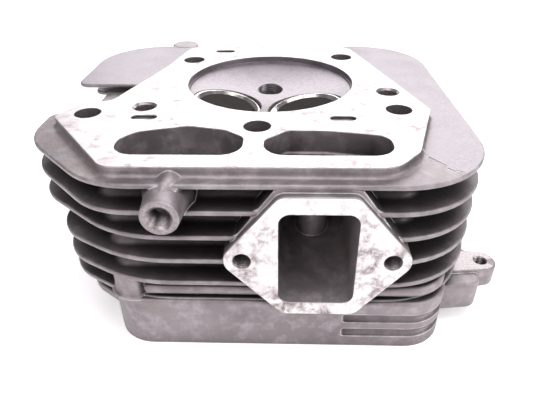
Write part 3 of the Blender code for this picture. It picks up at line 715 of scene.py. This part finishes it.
def cut_chamber(casting):
    casting.cut("chamber_step", [(circle(0.0, 0.0, BORE_RADIUS, 128), -CHAMBER_STEP, 3.0)])
    half = BORE_RADIUS - 0.6
    sink = DISH_RADIUS - sqrt(DISH_RADIUS ** 2 - half ** 2)
    rings = 12
    profile = [(0.0, 5.0), (half, 5.0)]
    for i in range(rings):
        reach = half * (1.0 - i / rings)
        depth = sink - (DISH_RADIUS - sqrt(DISH_RADIUS ** 2 - reach ** 2))
        profile.append((reach, -depth))
    profile.append((0.0, -sink))
    drop = CHAMBER_STEP + half * sin(DISH_TILT)
    tilt = Matrix.Translation((0.0, 0.0, -drop * MM)) @ Matrix.Rotation(DISH_TILT, 4, "X")
    casting.turn("chamber_dish", profile, "DIFFERENCE", tilt, 128)


def port_ring(y, left, right, floor, roof, radius):
    return [(x, y, z) for x, z in rounded((
        (left, floor, radius),
        (right, floor, radius),
        (right, roof, radius),
        (left, roof, radius),
    ))]


def cut_ports(casting):
    bm = bmesh.new()
    add_loft(bm, [
        port_ring(FLANGE_Y - 2.0, PORT_LEFT, PORT_RIGHT, PORT_FLOOR, PORT_ROOF, 4.5),
        port_ring(-62.0, PORT_LEFT + 0.2, PORT_RIGHT, -51.0, PORT_ROOF, 5.0),
        port_ring(-36.0, 7.0, 35.0, -39.0, PORT_ROOF, 7.0),
        port_ring(-14.0, 9.0, 34.0, -35.0, PORT_ROOF - 1.0, 8.0),
        port_ring(-5.0, 13.0, 30.0, -32.0, PORT_ROOF - 4.0, 6.0),
    ])
    casting.step("intake_duct", finish_mesh("intake_duct", bm), "DIFFERENCE")
    hump = [(circle(*PORT_BOSS, PORT_BOSS_RADIUS), -60.0, PORT_BOSS_TOP, "z", 0.0, 4.0)]
    casting.slabs("port_boss", hump)
    exhaust = [(circle(*EXHAUST_CENTRE, EXHAUST_PORT_RADIUS), EXHAUST_X - 3.0, -19.0, "x")]
    casting.cut("exhaust_duct", exhaust)
    for name, train in TRAINS.items():
        throat = train["throat"]
        profile = [
            (0.0, 9.0),
            (train["ring"] + GAP, 9.0),
            (train["ring"] + GAP, -SEAT_HEIGHT - GAP),
            (throat, -SEAT_HEIGHT - GAP),
            (throat - 0.6, -20.0),
            (throat - 2.0, -24.0),
            (throat - 5.0, -26.5),
            (GUIDE_RADIUS + GAP, -26.5),
            (GUIDE_RADIUS + GAP, -DECK),
            (WELL_RADIUS, -DECK),
            (WELL_RADIUS, -62.0),
            (0.0, -62.0),
        ]
        casting.turn(name + "_valve_bore", profile, "DIFFERENCE", valve_frame(train))


def cut_holes(casting):
    left_opening = rounded((
        (-59.2, -83.7, 9.2),
        (-8.6, -83.7, 8.8),
        (-8.6, -68.0, 5.0),
        (-17.0, -60.8, 9.0),
        (-33.0, -56.8, 10.0),
        (-54.0, -63.2, 9.0),
        (-59.2, -70.6, 7.0),
    ))
    right_opening = rounded((
        (-0.4, -83.7, 8.8),
        (50.2, -83.7, 8.8),
        (50.2, -66.1, 7.6),
        (25.0, -61.3, 10.0),
        (9.0, -61.2, 4.0),
        (-0.4, -70.5, 3.6),
    ))
    right_passage = rounded((
        (41.0, -81.0, 3.0),
        (49.5, -81.0, 3.0),
        (49.5, -66.0, 3.0),
        (41.0, -66.0, 3.0),
    ))
    casting.cut("pushrod_openings", [
        (left_opening, CORE_FLOOR - 1.0, 3.0),
        (right_opening, PORT_ROOF + 4.0, 3.0, "z", 1.0, 0.0),
    ])
    casting.cut("right_passage", [(right_passage, CORE_FLOOR - 1.0, -9.0)])
    holes = [(circle(x, y, HEAD_BOLT_RADIUS), -70.0, 3.0) for x, y in HEAD_BOLTS]
    holes.extend((circle(x, y, DOWEL_RADIUS), -12.0, 3.0) for x, y in DOWELS)
    holes.extend((stadium(x, y, 11.6, 5.2), -2.0, 3.0, "z", 0.4, 0.0) for x, y in KEY_SLOTS)
    casting.cut("vertical_holes", holes)
    nick_low, nick_high = -PLATEAU_DROP - 0.35, -PLATEAU_DROP + 1.0
    nicks = [(hull(((*a, 0.34), (*b, 0.14)), 12), nick_low, nick_high) for a, b in NICKS]
    casting.cut("plate_nicks", nicks)
    bm = bmesh.new()
    for x, y in DOWELS:
        low = [(px, py, -1.0) for px, py in circle(x, y, DOWEL_RADIUS)]
        high = [(px, py, 0.5) for px, py in circle(x, y, DOWEL_RADIUS + 1.5)]
        add_loft(bm, [low, high])
    casting.step("dowel_sinks", finish_mesh("dowel_sinks", bm), "DIFFERENCE")

    cover_thread = thread_profile(2.4, 0.4, -15.0, 0.5, 1.0)
    for n, (x, y) in enumerate(COVER_SCREWS):
        down = Matrix.Translation(Vector((x, y, RIM_Z)) * MM) @ Matrix.Rotation(pi, 4, "X")
        casting.turn(f"cover_thread_{n}", cover_thread, "DIFFERENCE", down, 40)
    ear = Matrix.Translation(Vector((*EAR_HOLE, -65.0)) * MM)
    ear_thread = thread_profile(EAR_HOLE_RADIUS - 0.4, 0.45, -18.0, 0.6, 1.0)
    casting.turn("ear_thread", ear_thread, "DIFFERENCE", ear, 48)
    forward = Matrix.Rotation(pi / 2.0, 4, "X")
    boss = Matrix.Translation(Vector((BOSS[0], BOSS_Y, BOSS[1])) * MM) @ forward
    boss_thread = thread_profile(3.9, 0.6, -9.0, 1.1, 1.25)
    casting.turn("boss_thread", boss_thread, "DIFFERENCE", boss, 56)
    flange_thread = thread_profile(3.4, 0.4, -14.0, 0.3, 1.25)
    for n, (x, z) in enumerate(FLANGE_BOLTS):
        local = Matrix.Translation(Vector((x, FLANGE_Y, z)) * MM) @ forward
        casting.turn(f"flange_thread_{n}", flange_thread, "DIFFERENCE", local, 48)
    aside = Matrix.Rotation(-pi / 2.0, 4, "Y")
    stud_thread = thread_profile(3.3, 0.4, -17.0, 0.6, 1.25)
    for n, (y, z) in enumerate(EXHAUST_BOLTS):
        local = Matrix.Translation(Vector((EXHAUST_X, y, z)) * MM) @ aside
        casting.turn(f"stud_thread_{n}", stud_thread, "DIFFERENCE", local, 48)

    plug = thread_profile(PLUG_RADIUS - 0.5, 0.5, -PLUG_REACH - 2.0, 0.9, 1.25)
    casting.turn("plug_thread", plug, "DIFFERENCE", plug_frame(), 64)
    well = [(circle(0.0, 0.0, PLUG_WELL_RADIUS), -85.0, -PLUG_REACH)]
    casting.cut("plug_well", well, plug_frame())
    for name, train in TRAINS.items():
        thread = [(circle(0.0, 0.0, 2.7, 32), PIVOT_SEAT - 2.0, PIVOT_SEAT + 13.0)]
        casting.cut(name + "_pivot_thread", thread, rocker_frame(train))


# Finishes of the casting, in the order of its material slots
CAST, GASKET, FLANGE_END, CHAMBER, DRILLED, PORT = range(6)
FRONT_HOLE_REACH = 4.8


def build_casting():
    casting = Casting("finned_casting")
    grow_cooling_body(casting)
    grow_rocker_box(casting)
    grow_port_flanges(casting)
    cut_rocker_box(casting)
    cut_chamber(casting)
    cut_ports(casting)
    cut_holes(casting)
    item = casting.body
    for material in (CAST_SKIN, GASKET_FACE, FLANGE_FACE, CHAMBER_SKIN, BORED, PORT_SKIN):
        item.data.materials.append(material)
    for face in item.data.polygons:
        face.material_index = casting_finish(face.center / MM, face.normal)
    soften(item)
    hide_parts("head_casting")
    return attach(item, "head")


def casting_finish(centre, normal):
    """Finish of a face, by its place and the way it faces."""
    x, y, z = centre
    if z > -0.05 and normal.z > 0.9:
        return GASKET
    if y < FLANGE_Y + 0.05 and normal.y < -0.9 and y > FLANGE_Y - 0.1:
        return FLANGE_END
    if x < EXHAUST_X + 0.05 and normal.x < -0.9 and x > EXHAUST_X - 0.1:
        return FLANGE_END
    if z < RIM_Z + 0.05:
        return GASKET
    if x * x + y * y < (BORE_RADIUS + 0.1) ** 2 and z > -13.0:
        return CHAMBER
    upright = z > -60.0 and abs(normal.z) < 0.9
    for hx, hy in HEAD_BOLTS + DOWELS:
        if upright and (x - hx) ** 2 + (y - hy) ** 2 < (HEAD_BOLT_RADIUS + 1.0) ** 2:
            return DRILLED
    if (x - EAR_HOLE[0]) ** 2 + (y - EAR_HOLE[1]) ** 2 < (EAR_HOLE_RADIUS + 1.2) ** 2:
        return DRILLED
    for hx, hz in FLANGE_BOLTS + (BOSS,):
        if (x - hx) ** 2 + (z - hz) ** 2 < FRONT_HOLE_REACH ** 2 and y < -85.0:
            return DRILLED
    across = PORT_LEFT - 0.1 < x < PORT_RIGHT + 0.1
    if across and FLANGE_Y < y < -5.0 and PORT_FLOOR - 0.1 < z < PORT_ROOF + 0.1:
        return PORT
    return CAST


# ---------------------------------------------------------------- materials


class Graph:
    """Short hand for a material's nodes."""

    def __init__(self, name):
        self.material = bpy.data.materials.new(name)
        self.material.use_nodes = True
        self.nodes = self.material.node_tree.nodes
        self.links = self.material.node_tree.links
        self.shader = self.nodes["Principled BSDF"]
        self.place = self.node("ShaderNodeTexCoord").outputs["Object"]

    def node(self, kind, **values):
        item = self.nodes.new(kind)
        for key, value in values.items():
            setattr(item, key, value)
        return item

    def feed(self, socket, value):
        if isinstance(value, bpy.types.NodeSocket):
            self.links.new(value, socket)
        elif isinstance(value, tuple) and len(value) == 3 and socket.type == "RGBA":
            socket.default_value = (*value, 1.0)
        else:
            socket.default_value = value

    def noise(self, scale, detail=4.0, roughness=0.55, stretch=None, distortion=0.0):
        """Noise of so many bumps a metre."""
        item = self.node("ShaderNodeTexNoise")
        item.inputs["Scale"].default_value = scale
        item.inputs["Detail"].default_value = detail
        item.inputs["Roughness"].default_value = roughness
        item.inputs["Distortion"].default_value = distortion
        place = self.place
        if stretch:
            mapping = self.node("ShaderNodeMapping")
            mapping.inputs["Scale"].default_value = stretch
            self.links.new(self.place, mapping.inputs["Vector"])
            place = mapping.outputs[0]
        self.links.new(place, item.inputs["Vector"])
        return item.outputs["Fac"]

    def ramp(self, value, low, high, start=0.0, end=1.0):
        item = self.node("ShaderNodeMapRange", clamp=True)
        self.feed(item.inputs["Value"], value)
        item.inputs["From Min"].default_value = low
        item.inputs["From Max"].default_value = high
        item.inputs["To Min"].default_value = start
        item.inputs["To Max"].default_value = end
        return item.outputs[0]

    def mix(self, share, first, second, blend="MIX"):
        item = self.node("ShaderNodeMix", data_type="RGBA", blend_type=blend)
        self.feed(item.inputs["Factor"], share)
        self.feed(item.inputs[6], first)
        self.feed(item.inputs[7], second)
        return item.outputs[2]

    def maths(self, operation, first, second=0.0):
        item = self.node("ShaderNodeMath", operation=operation)
        self.feed(item.inputs[0], first)
        self.feed(item.inputs[1], second)
        return item.outputs[0]

    def hollow(self, reach):
        """0 in the open, 1 deep in a recess."""
        item = self.node("ShaderNodeAmbientOcclusion", samples=6)
        item.inputs["Distance"].default_value = reach * MM
        return self.maths("SUBTRACT", 1.0, item.outputs["AO"])

    def edge(self, radius):
        """Normal with edges rounded off by a radius, and how near an edge the point is."""
        bevel = self.node("ShaderNodeBevel", samples=6)
        bevel.inputs["Radius"].default_value = radius * MM
        plain = self.node("ShaderNodeNewGeometry")
        dot = self.node("ShaderNodeVectorMath", operation="DOT_PRODUCT")
        self.links.new(bevel.outputs[0], dot.inputs[0])
        self.links.new(plain.outputs["Normal"], dot.inputs[1])
        return bevel.outputs[0], self.ramp(dot.outputs["Value"], 0.995, 0.80)

    def bump(self, layers, normal=None):
        """Stacked bumps; each layer is a height, its strength and its depth in millimetres."""
        for height, strength, depth in layers:
            item = self.node("ShaderNodeBump")
            item.inputs["Strength"].default_value = strength
            item.inputs["Distance"].default_value = depth * MM
            self.links.new(height, item.inputs["Height"])
            if normal is not None:
                self.links.new(normal, item.inputs["Normal"])
            normal = item.outputs[0]
        self.links.new(normal, self.shader.inputs["Normal"])

    def finish(self, colour, metallic, roughness):
        self.feed(self.shader.inputs["Base Color"], colour)
        self.feed(self.shader.inputs["Metallic"], metallic)
        self.feed(self.shader.inputs["Roughness"], roughness)
        return self.material


def cast_skin(name, shade_start, shade_full):
    """Sand-cast aluminium: grain, cloudy patches, edges painted bright as partly rubbed wear and partly
    painted highlight, painted shade in its creases and deep in its hollows.
    """
    g = Graph(name)
    normal, edge = g.edge(1.0)
    clouds = g.noise(38.0, 3.0)
    patches = g.noise(170.0, 5.0, 0.6)
    grain = g.noise(2300.0, 2.0, 0.6)
    pits = g.noise(620.0, 3.0, 0.5)
    colour = g.mix(g.ramp(clouds, 0.35, 0.7), (0.25, 0.222, 0.232), (0.345, 0.308, 0.322))
    colour = g.mix(g.ramp(patches, 0.45, 0.68, 0.0, 0.75), colour, (0.50, 0.455, 0.48))
    colour = g.mix(g.ramp(grain, 0.35, 0.65, 0.0, 0.22), colour, (0.20, 0.17, 0.17))
    colour = g.mix(g.ramp(g.noise(75.0, 4.0), 0.52, 0.70, 0.0, 0.50), colour, (0.23, 0.175, 0.165))
    colour = g.mix(g.ramp(g.noise(26.0, 3.0), 0.50, 0.66, 0.0, 0.45), colour, (0.150, 0.125, 0.135))
    # Painted shade: colour darkened deep in recesses such as the fin gaps, and in creases and concave
    # corners; the deep shade also lowers the metallic
    hollow_shade = g.ramp(g.hollow(24.0), shade_start, shade_full)
    crease_shade = g.ramp(g.hollow(3.5), 0.30, 0.60, 0.0, 0.75)
    colour = g.mix(crease_shade, colour, (0.085, 0.068, 0.070))
    colour = g.mix(hollow_shade, colour, (0.016, 0.012, 0.012))
    # Edges painted near white: partly rubbed wear, partly painted highlight along the rounded edges
    edge_wear_and_highlight = g.maths("MULTIPLY", edge, g.ramp(patches, 0.3, 0.6, 0.35, 1.0))
    colour = g.mix(g.maths("MULTIPLY", edge_wear_and_highlight, 0.95), colour, (0.95, 0.90, 0.92))
    g.bump([(pits, 0.45, 0.30), (grain, 0.35, 0.12)], normal)
    rough = g.ramp(patches, 0.3, 0.7, 0.42, 0.58)
    return g.finish(colour, g.ramp(hollow_shade, 0.0, 1.0, 0.62, 0.1), rough)


def machined(name, tint, stain, pattern, stain_share):
    """Milled aluminium: fine tool marks, stains and scratches."""
    g = Graph(name)
    normal = g.edge(0.35)[0]
    marks = g.noise(900.0, 2.0, 0.5, pattern)
    patches = g.noise(60.0, 5.0, 0.65)
    blotches = g.noise(200.0, 7.0, 0.72, None, 0.25)
    colour = g.mix(g.ramp(marks, 0.35, 0.65, 0.0, 0.25), tint, (0.60, 0.56, 0.57))
    share = g.maths("MULTIPLY", g.ramp(blotches, 0.44, 0.62), g.ramp(patches, 0.38, 0.60))
    colour = g.mix(g.maths("MULTIPLY", share, stain_share), colour, stain)
    g.bump([(marks, 0.10, 0.05), (blotches, 0.05, 0.05)], normal)
    rough = g.ramp(share, 0.0, 1.0, 0.36, 0.62)
    return g.finish(colour, g.ramp(share, 0.0, 1.0, 0.40, 0.15), rough)


def chamber_skin():
    """Combustion chamber: turned dish with faint rings, grey-mauve deposits and painted shade in its
    hollows.
    """
    g = Graph("chamber_skin")
    normal = g.edge(0.4)[0]
    rings = g.node("ShaderNodeTexWave", wave_type="RINGS", rings_direction="Z")
    rings.inputs["Scale"].default_value = 260.0
    rings.inputs["Distortion"].default_value = 1.2
    rings.inputs["Detail"].default_value = 3.0
    g.links.new(g.place, rings.inputs["Vector"])
    clouds = g.noise(55.0, 4.0)
    specks = g.noise(700.0, 3.0)
    colour = g.mix(g.ramp(clouds, 0.35, 0.65), (0.20, 0.175, 0.195), (0.30, 0.27, 0.29))
    colour = g.mix(g.ramp(specks, 0.4, 0.7, 0.0, 0.3), colour, (0.42, 0.38, 0.40))
    # Painted shade: darker in the chamber's hollows, such as along the rim wall
    colour = g.mix(g.ramp(g.hollow(7.0), 0.25, 0.75), colour, (0.06, 0.05, 0.05))
    g.bump([(rings.outputs["Fac"], 0.06, 0.05), (specks, 0.15, 0.06)], normal)
    return g.finish(colour, 0.75, g.ramp(clouds, 0.3, 0.7, 0.36, 0.5))


def bored():
    """Drilled and tapped surfaces."""
    g = Graph("bored")
    normal = g.edge(0.25)[0]
    marks = g.noise(1200.0, 2.0)
    colour = g.mix(g.ramp(marks, 0.35, 0.65), (0.26, 0.23, 0.23), (0.38, 0.34, 0.35))
    # Painted shade: darker deep inside the holes
    colour = g.mix(g.ramp(g.hollow(5.0), 0.30, 0.75), colour, (0.030, 0.025, 0.025))
    g.bump([(marks, 0.15, 0.05)], normal)
    return g.finish(colour, 0.8, 0.38)


def steel(name, dark, light, roughness, grain=1600.0, rust=None, metallic=0.95, edge_wear=0.4):
    """Ground or blackened steel with grain, oil film and worn edges."""
    g = Graph(name)
    normal, edge = g.edge(0.25)
    clouds = g.noise(140.0, 4.0)
    fine = g.noise(grain, 2.0)
    colour = g.mix(g.ramp(clouds, 0.35, 0.65), dark, light)
    colour = g.mix(g.ramp(fine, 0.4, 0.7, 0.0, 0.3), colour, dark)
    if rust:
        colour = g.mix(g.ramp(g.noise(320.0, 5.0, 0.7), 0.56, 0.68, 0.0, 0.6), colour, rust)
    colour = g.mix(g.maths("MULTIPLY", edge, edge_wear), colour, (0.75, 0.72, 0.70))
    g.bump([(fine, 0.15, 0.04)], normal)
    return g.finish(colour, metallic, g.ramp(clouds, 0.3, 0.7, roughness - 0.06, roughness + 0.1))


def rubber(name, dark, light):
    g = Graph(name)
    normal = g.edge(0.3)[0]
    fine = g.noise(1500.0, 3.0)
    colour = g.mix(g.ramp(fine, 0.35, 0.65), dark, light)
    g.bump([(fine, 0.3, 0.06)], normal)
    return g.finish(colour, 0.0, 0.62)


CAST_SKIN = cast_skin("cast_skin", 0.40, 0.62)
# Same skin with its painted shade starting deeper, so the inside of the intake port is painted lighter, as
# if lit
PORT_SKIN = cast_skin("port_skin", 0.62, 0.98)
GASKET_FACE = machined(
    "gasket_face_finish", (0.66, 0.62, 0.635), (0.30, 0.20, 0.19), (0.12, 3.0, 1.0), 0.60,
)
FLANGE_FACE = machined(
    "flange_face_finish", (0.90, 0.86, 0.87), (0.20, 0.14, 0.14), (3.0, 1.0, 0.15), 0.92,
)
CHAMBER_SKIN = chamber_skin()
BORED = bored()
SEAT_STEEL = steel("seat_finish", (0.50, 0.46, 0.44), (0.78, 0.74, 0.72), 0.18)
GUIDE_IRON = steel("guide_finish", (0.16, 0.14, 0.13), (0.30, 0.28, 0.26), 0.42)
# Nearly black and matt to match the dark seats in the photograph, not as clean valve steel looks
# The near-black colour is painted shade, standing in for the dark open ports behind the seats
VALVE_PAINTED_SHADE = steel(
    "valve_painted_shade", (0.012, 0.010, 0.009), (0.030, 0.026, 0.024), 0.80, 900.0, None, 0.0, 0.0,
)
VALVE_PAINTED_SHADE.node_tree.nodes["Principled BSDF"].inputs["Specular IOR Level"].default_value = 0.12
SPRING_STEEL = steel("spring_finish", (0.07, 0.075, 0.09), (0.17, 0.18, 0.20), 0.30)
WASHER_STEEL = steel("washer_finish", (0.30, 0.28, 0.27), (0.48, 0.46, 0.44), 0.34)
KEEPER_STEEL = steel("keeper_finish", (0.24, 0.22, 0.21), (0.40, 0.38, 0.36), 0.32)
ROCKER_STEEL = steel(
    "rocker_finish", (0.13, 0.12, 0.12), (0.26, 0.24, 0.24), 0.45, 1100.0, (0.22, 0.13, 0.08),
)
SCREW_STEEL = steel("screw_finish", (0.030, 0.030, 0.032), (0.085, 0.082, 0.085), 0.38)
SEAL_RUBBER = rubber("seal_finish", (0.030, 0.050, 0.030), (0.065, 0.095, 0.06))

# ---------------------------------------------------------------- valve gear


def mount(item, body, material, slot, *nodes):
    item.data.materials.clear()
    item.data.materials.append(material)
    soften(item)
    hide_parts(*nodes)
    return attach(item, body)


def build_seat(name, train):
    ring, cone, throat = train["ring"], train["cone"], train["throat"]
    profile = (
        (ring - 0.5, 0.0),
        (ring - 0.15, -0.12),
        (ring, -0.5),
        (ring, -SEAT_HEIGHT),
        (throat + 0.4, -SEAT_HEIGHT),
        (throat, -SEAT_HEIGHT + 0.4),
        (throat, throat - cone - 0.9),
        (throat + 0.35, throat - cone + 0.1),
        (cone - 0.3, -0.45),
        (cone, 0.0),
    )
    item = place(name + "_seat_ring", turned_mesh(name + "_seat_ring", profile, 128), valve_frame(train))
    return mount(item, "head", SEAT_STEEL, "seat_steel", name + "_valve_seat")


def build_valve(name, train):
    head = train["cone"] - 2.2
    face = head - train["cone"] + 0.42
    neck = head - 2.9
    profile = [
        (0.0, face + 0.75),
        (head * 0.55, face + 0.78),
        (head - 1.2, face + 1.0),
        (head - 0.35, face + 0.95),
        (head, face + 0.6),
        (head, face),
        (neck, face - 2.9),
    ]
    fillet = 9
    for k in range(1, fillet + 1):
        share = k / fillet
        radius = STEM_RADIUS + (neck - STEM_RADIUS) * (1.0 - share) ** 2.4
        profile.append((radius, face - 2.9 - 12.4 * share))
    profile.extend([
        (STEM_RADIUS, -STEM_TIP + 0.6),
        (STEM_RADIUS - 0.18, -STEM_TIP + 0.18),
        (STEM_RADIUS - 0.6, -STEM_TIP),
        (0.0, -STEM_TIP),
    ])
    label = name + "_poppet"
    item = place(label, turned_mesh(label, profile, 96, closed=False), valve_frame(train))
    return mount(item, name + "_valve_train", VALVE_PAINTED_SHADE, "valve_steel", name + "_valve")


def spring_path(along):
    """Height of the wire centre after a number of turns, with close-wound ends."""
    low = -SPRING_END + SPRING_WIRE / 2.0
    high = -SPRING_START - SPRING_WIRE / 2.0
    close = SPRING_WIRE + 0.25
    open_pitch = (high - low - 2.0 * close) / (SPRING_TURNS - 2.0)
    if along < 1.0:
        return low + close * along
    if along < SPRING_TURNS - 1.0:
        return low + close + open_pitch * (along - 1.0)
    return high - close * (SPRING_TURNS - along)


def build_spring(name, train):
    steps = 300
    sides = 20
    rings = []
    for i in range(steps + 1):
        along = SPRING_TURNS * i / steps
        angle = 2.0 * pi * along
        out = Vector((cos(angle), sin(angle), 0.0))
        centre = out * SPRING_MEAN_RADIUS + Vector((0.0, 0.0, spring_path(along)))
        ring = []
        for k in range(sides):
            turn = 2.0 * pi * k / sides
            offset = out * cos(turn) + Vector((0.0, 0.0, 1.0)) * sin(turn)
            ring.append(centre + offset * SPRING_WIRE / 2.0)
        rings.append(ring)
    bm = bmesh.new()
    add_loft(bm, rings)
    label = name + "_coil"
    item = place(label, finish_mesh(label, bm), valve_frame(train))
    mount(item, "head", SPRING_STEEL, "spring_steel", name + "_valve_spring")
    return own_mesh(item)


def build_retainer(name, train, outer, skirt):
    top = -SPRING_END - GAP
    profile = (
        (outer - 0.3, top),
        (outer, top - 0.3),
        (outer, top - skirt + 0.5),
        (outer - 0.5, top - skirt),
        (10.2, top - skirt - 0.3),
        (8.7, -64.9),
        (8.2, -65.2),
        (6.4, -65.2),
        (5.2, -57.6),
        (8.4, -57.6),
        (8.7, -57.9),
        (8.9, top),
    )
    label = name + "_retainer_cup"
    item = place(label, turned_mesh(label, profile), valve_frame(train))
    return mount(item, name + "_valve_train", WASHER_STEEL, "washer_steel", name + "_spring_retainer")


def dress_frame_nodes():
    """Finishes of the CAD pieces that are shown as they are."""
    finishes = {
        "valve_guide": (GUIDE_IRON, "guide_iron"),
        "spring_seat": (WASHER_STEEL, "washer_steel"),
        "keeper_a": (KEEPER_STEEL, "keeper_steel"),
        "keeper_b": (KEEPER_STEEL, "keeper_steel"),
        "rocker_arm": (ROCKER_STEEL, "rocker_steel"),
        "rocker_pivot": (SEAT_STEEL, "seat_steel"),
        "pivot_screw": (SCREW_STEEL, "screw_steel"),
        "stem_seal": (SEAL_RUBBER, "seal_rubber"),
    }
    for name, item in frame["nodes"].items():
        if item.hide_render:
            continue
        kind = name.split("_", 1)[1]
        material, slot = finishes[kind]
        item.data.materials.clear()
        item.data.materials.append(material)
        item.data.shade_smooth()


# ---------------------------------------------------------------- stage, light and camera


def build_stage():
    bm = bmesh.new()
    bmesh.ops.create_grid(bm, x_segments=8, y_segments=8, size=4.0)
    floor = bpy.data.objects.new("floor", finish_mesh("floor", bm))
    bpy.context.scene.collection.objects.link(floor)
    floor.location.z = -0.0003
    g = Graph("floor_paper")
    fibre = g.noise(400.0, 3.0)
    g.bump([(fibre, 0.05, 0.05)])
    paper = g.mix(g.ramp(fibre, 0.3, 0.7), (0.93, 0.905, 0.92), (0.96, 0.94, 0.95))
    g.feed(g.shader.inputs["Emission Color"], paper)
    g.feed(g.shader.inputs["Emission Strength"], 0.42)
    floor.data.materials.append(g.finish(paper, 0.0, 0.8))
    side = g.node("ShaderNodeNewGeometry")
    clear = g.node("ShaderNodeBsdfTransparent")
    one_sided = g.node("ShaderNodeMixShader")
    g.links.new(side.outputs["Backfacing"], one_sided.inputs[0])
    g.links.new(g.shader.outputs[0], one_sided.inputs[1])
    g.links.new(clear.outputs[0], one_sided.inputs[2])
    g.links.new(one_sided.outputs[0], g.nodes["Material Output"].inputs["Surface"])


def soft_box(name, target, azimuth, elevation, distance, size, power, colour=(1.0, 1.0, 1.0)):
    data = bpy.data.lights.new(name, "AREA")
    data.shape = "RECTANGLE"
    data.size, data.size_y = size
    data.energy = power
    data.color = colour
    item = bpy.data.objects.new(name, data)
    bpy.context.scene.collection.objects.link(item)
    away = Vector((
        sin(azimuth) * cos(elevation),
        -cos(azimuth) * cos(elevation),
        sin(elevation),
    ))
    item.location = target + away * distance
    item.rotation_euler = away.to_track_quat("Z", "Y").to_euler()
    return item


def build_light():
    world = bpy.data.worlds.new("studio")
    bpy.context.scene.world = world
    world.use_nodes = True
    nodes, links = world.node_tree.nodes, world.node_tree.links
    background = nodes["Background"]
    background.inputs["Color"].default_value = (0.96, 0.95, 1.0, 1.0)
    background.inputs["Strength"].default_value = 0.22
    backdrop = nodes.new("ShaderNodeBackground")
    backdrop.inputs["Color"].default_value = (1.0, 1.0, 1.0, 1.0)
    backdrop.inputs["Strength"].default_value = 1.05
    path = nodes.new("ShaderNodeLightPath")
    mix = nodes.new("ShaderNodeMixShader")
    links.new(path.outputs["Is Camera Ray"], mix.inputs[0])
    links.new(background.outputs[0], mix.inputs[1])
    links.new(backdrop.outputs[0], mix.inputs[2])
    links.new(mix.outputs[0], nodes["World Output"].inputs["Surface"])
    middle = Vector((0.0, 0.0, 0.06))
    soft_box("front_box", middle, radians(-28.0), radians(44.0), 0.9, (0.7, 0.5), 3.3, (1.0, 0.97, 0.98))
    soft_box("back_box", middle, radians(172.0), radians(34.0), 1.0, (1.3, 0.5), 10.0)
    soft_box("top_box", middle, radians(40.0), radians(78.0), 0.9, (0.6, 0.5), 4.0)
    soft_box("right_box", middle, radians(62.0), radians(24.0), 0.9, (0.5, 0.3), 3.2)


def build_camera():
    data = bpy.data.cameras.new("camera")
    data.lens = CAMERA_LENS
    data.sensor_width = 36.0
    data.clip_start = 0.01
    item = bpy.data.objects.new("camera", data)
    bpy.context.scene.collection.objects.link(item)
    ahead = Vector((
        sin(CAMERA_YAW) * cos(CAMERA_PITCH),
        cos(CAMERA_YAW) * cos(CAMERA_PITCH),
        -sin(CAMERA_PITCH),
    ))
    level = Vector((cos(CAMERA_YAW), -sin(CAMERA_YAW), 0.0))
    up = level.cross(ahead)
    right = level * cos(CAMERA_ROLL) + up * sin(CAMERA_ROLL)
    top = up * cos(CAMERA_ROLL) - level * sin(CAMERA_ROLL)
    item.matrix_world = Matrix((right, top, -ahead)).transposed().to_4x4()
    item.location = (CAMERA_PLACE + BORE_CENTRE) * MM
    bpy.context.scene.camera = item


build_casting()
for train_name, train_sizes in TRAINS.items():
    build_seat(train_name, train_sizes)
    build_valve(train_name, train_sizes)
    build_spring(train_name, train_sizes)
build_retainer("intake", TRAINS["intake"], 13.0, 2.4)
build_retainer("exhaust", TRAINS["exhaust"], 13.6, 4.0)
dress_frame_nodes()
build_stage()
build_light()
build_camera()
bpy.context.scene.view_settings.view_transform = "Standard"
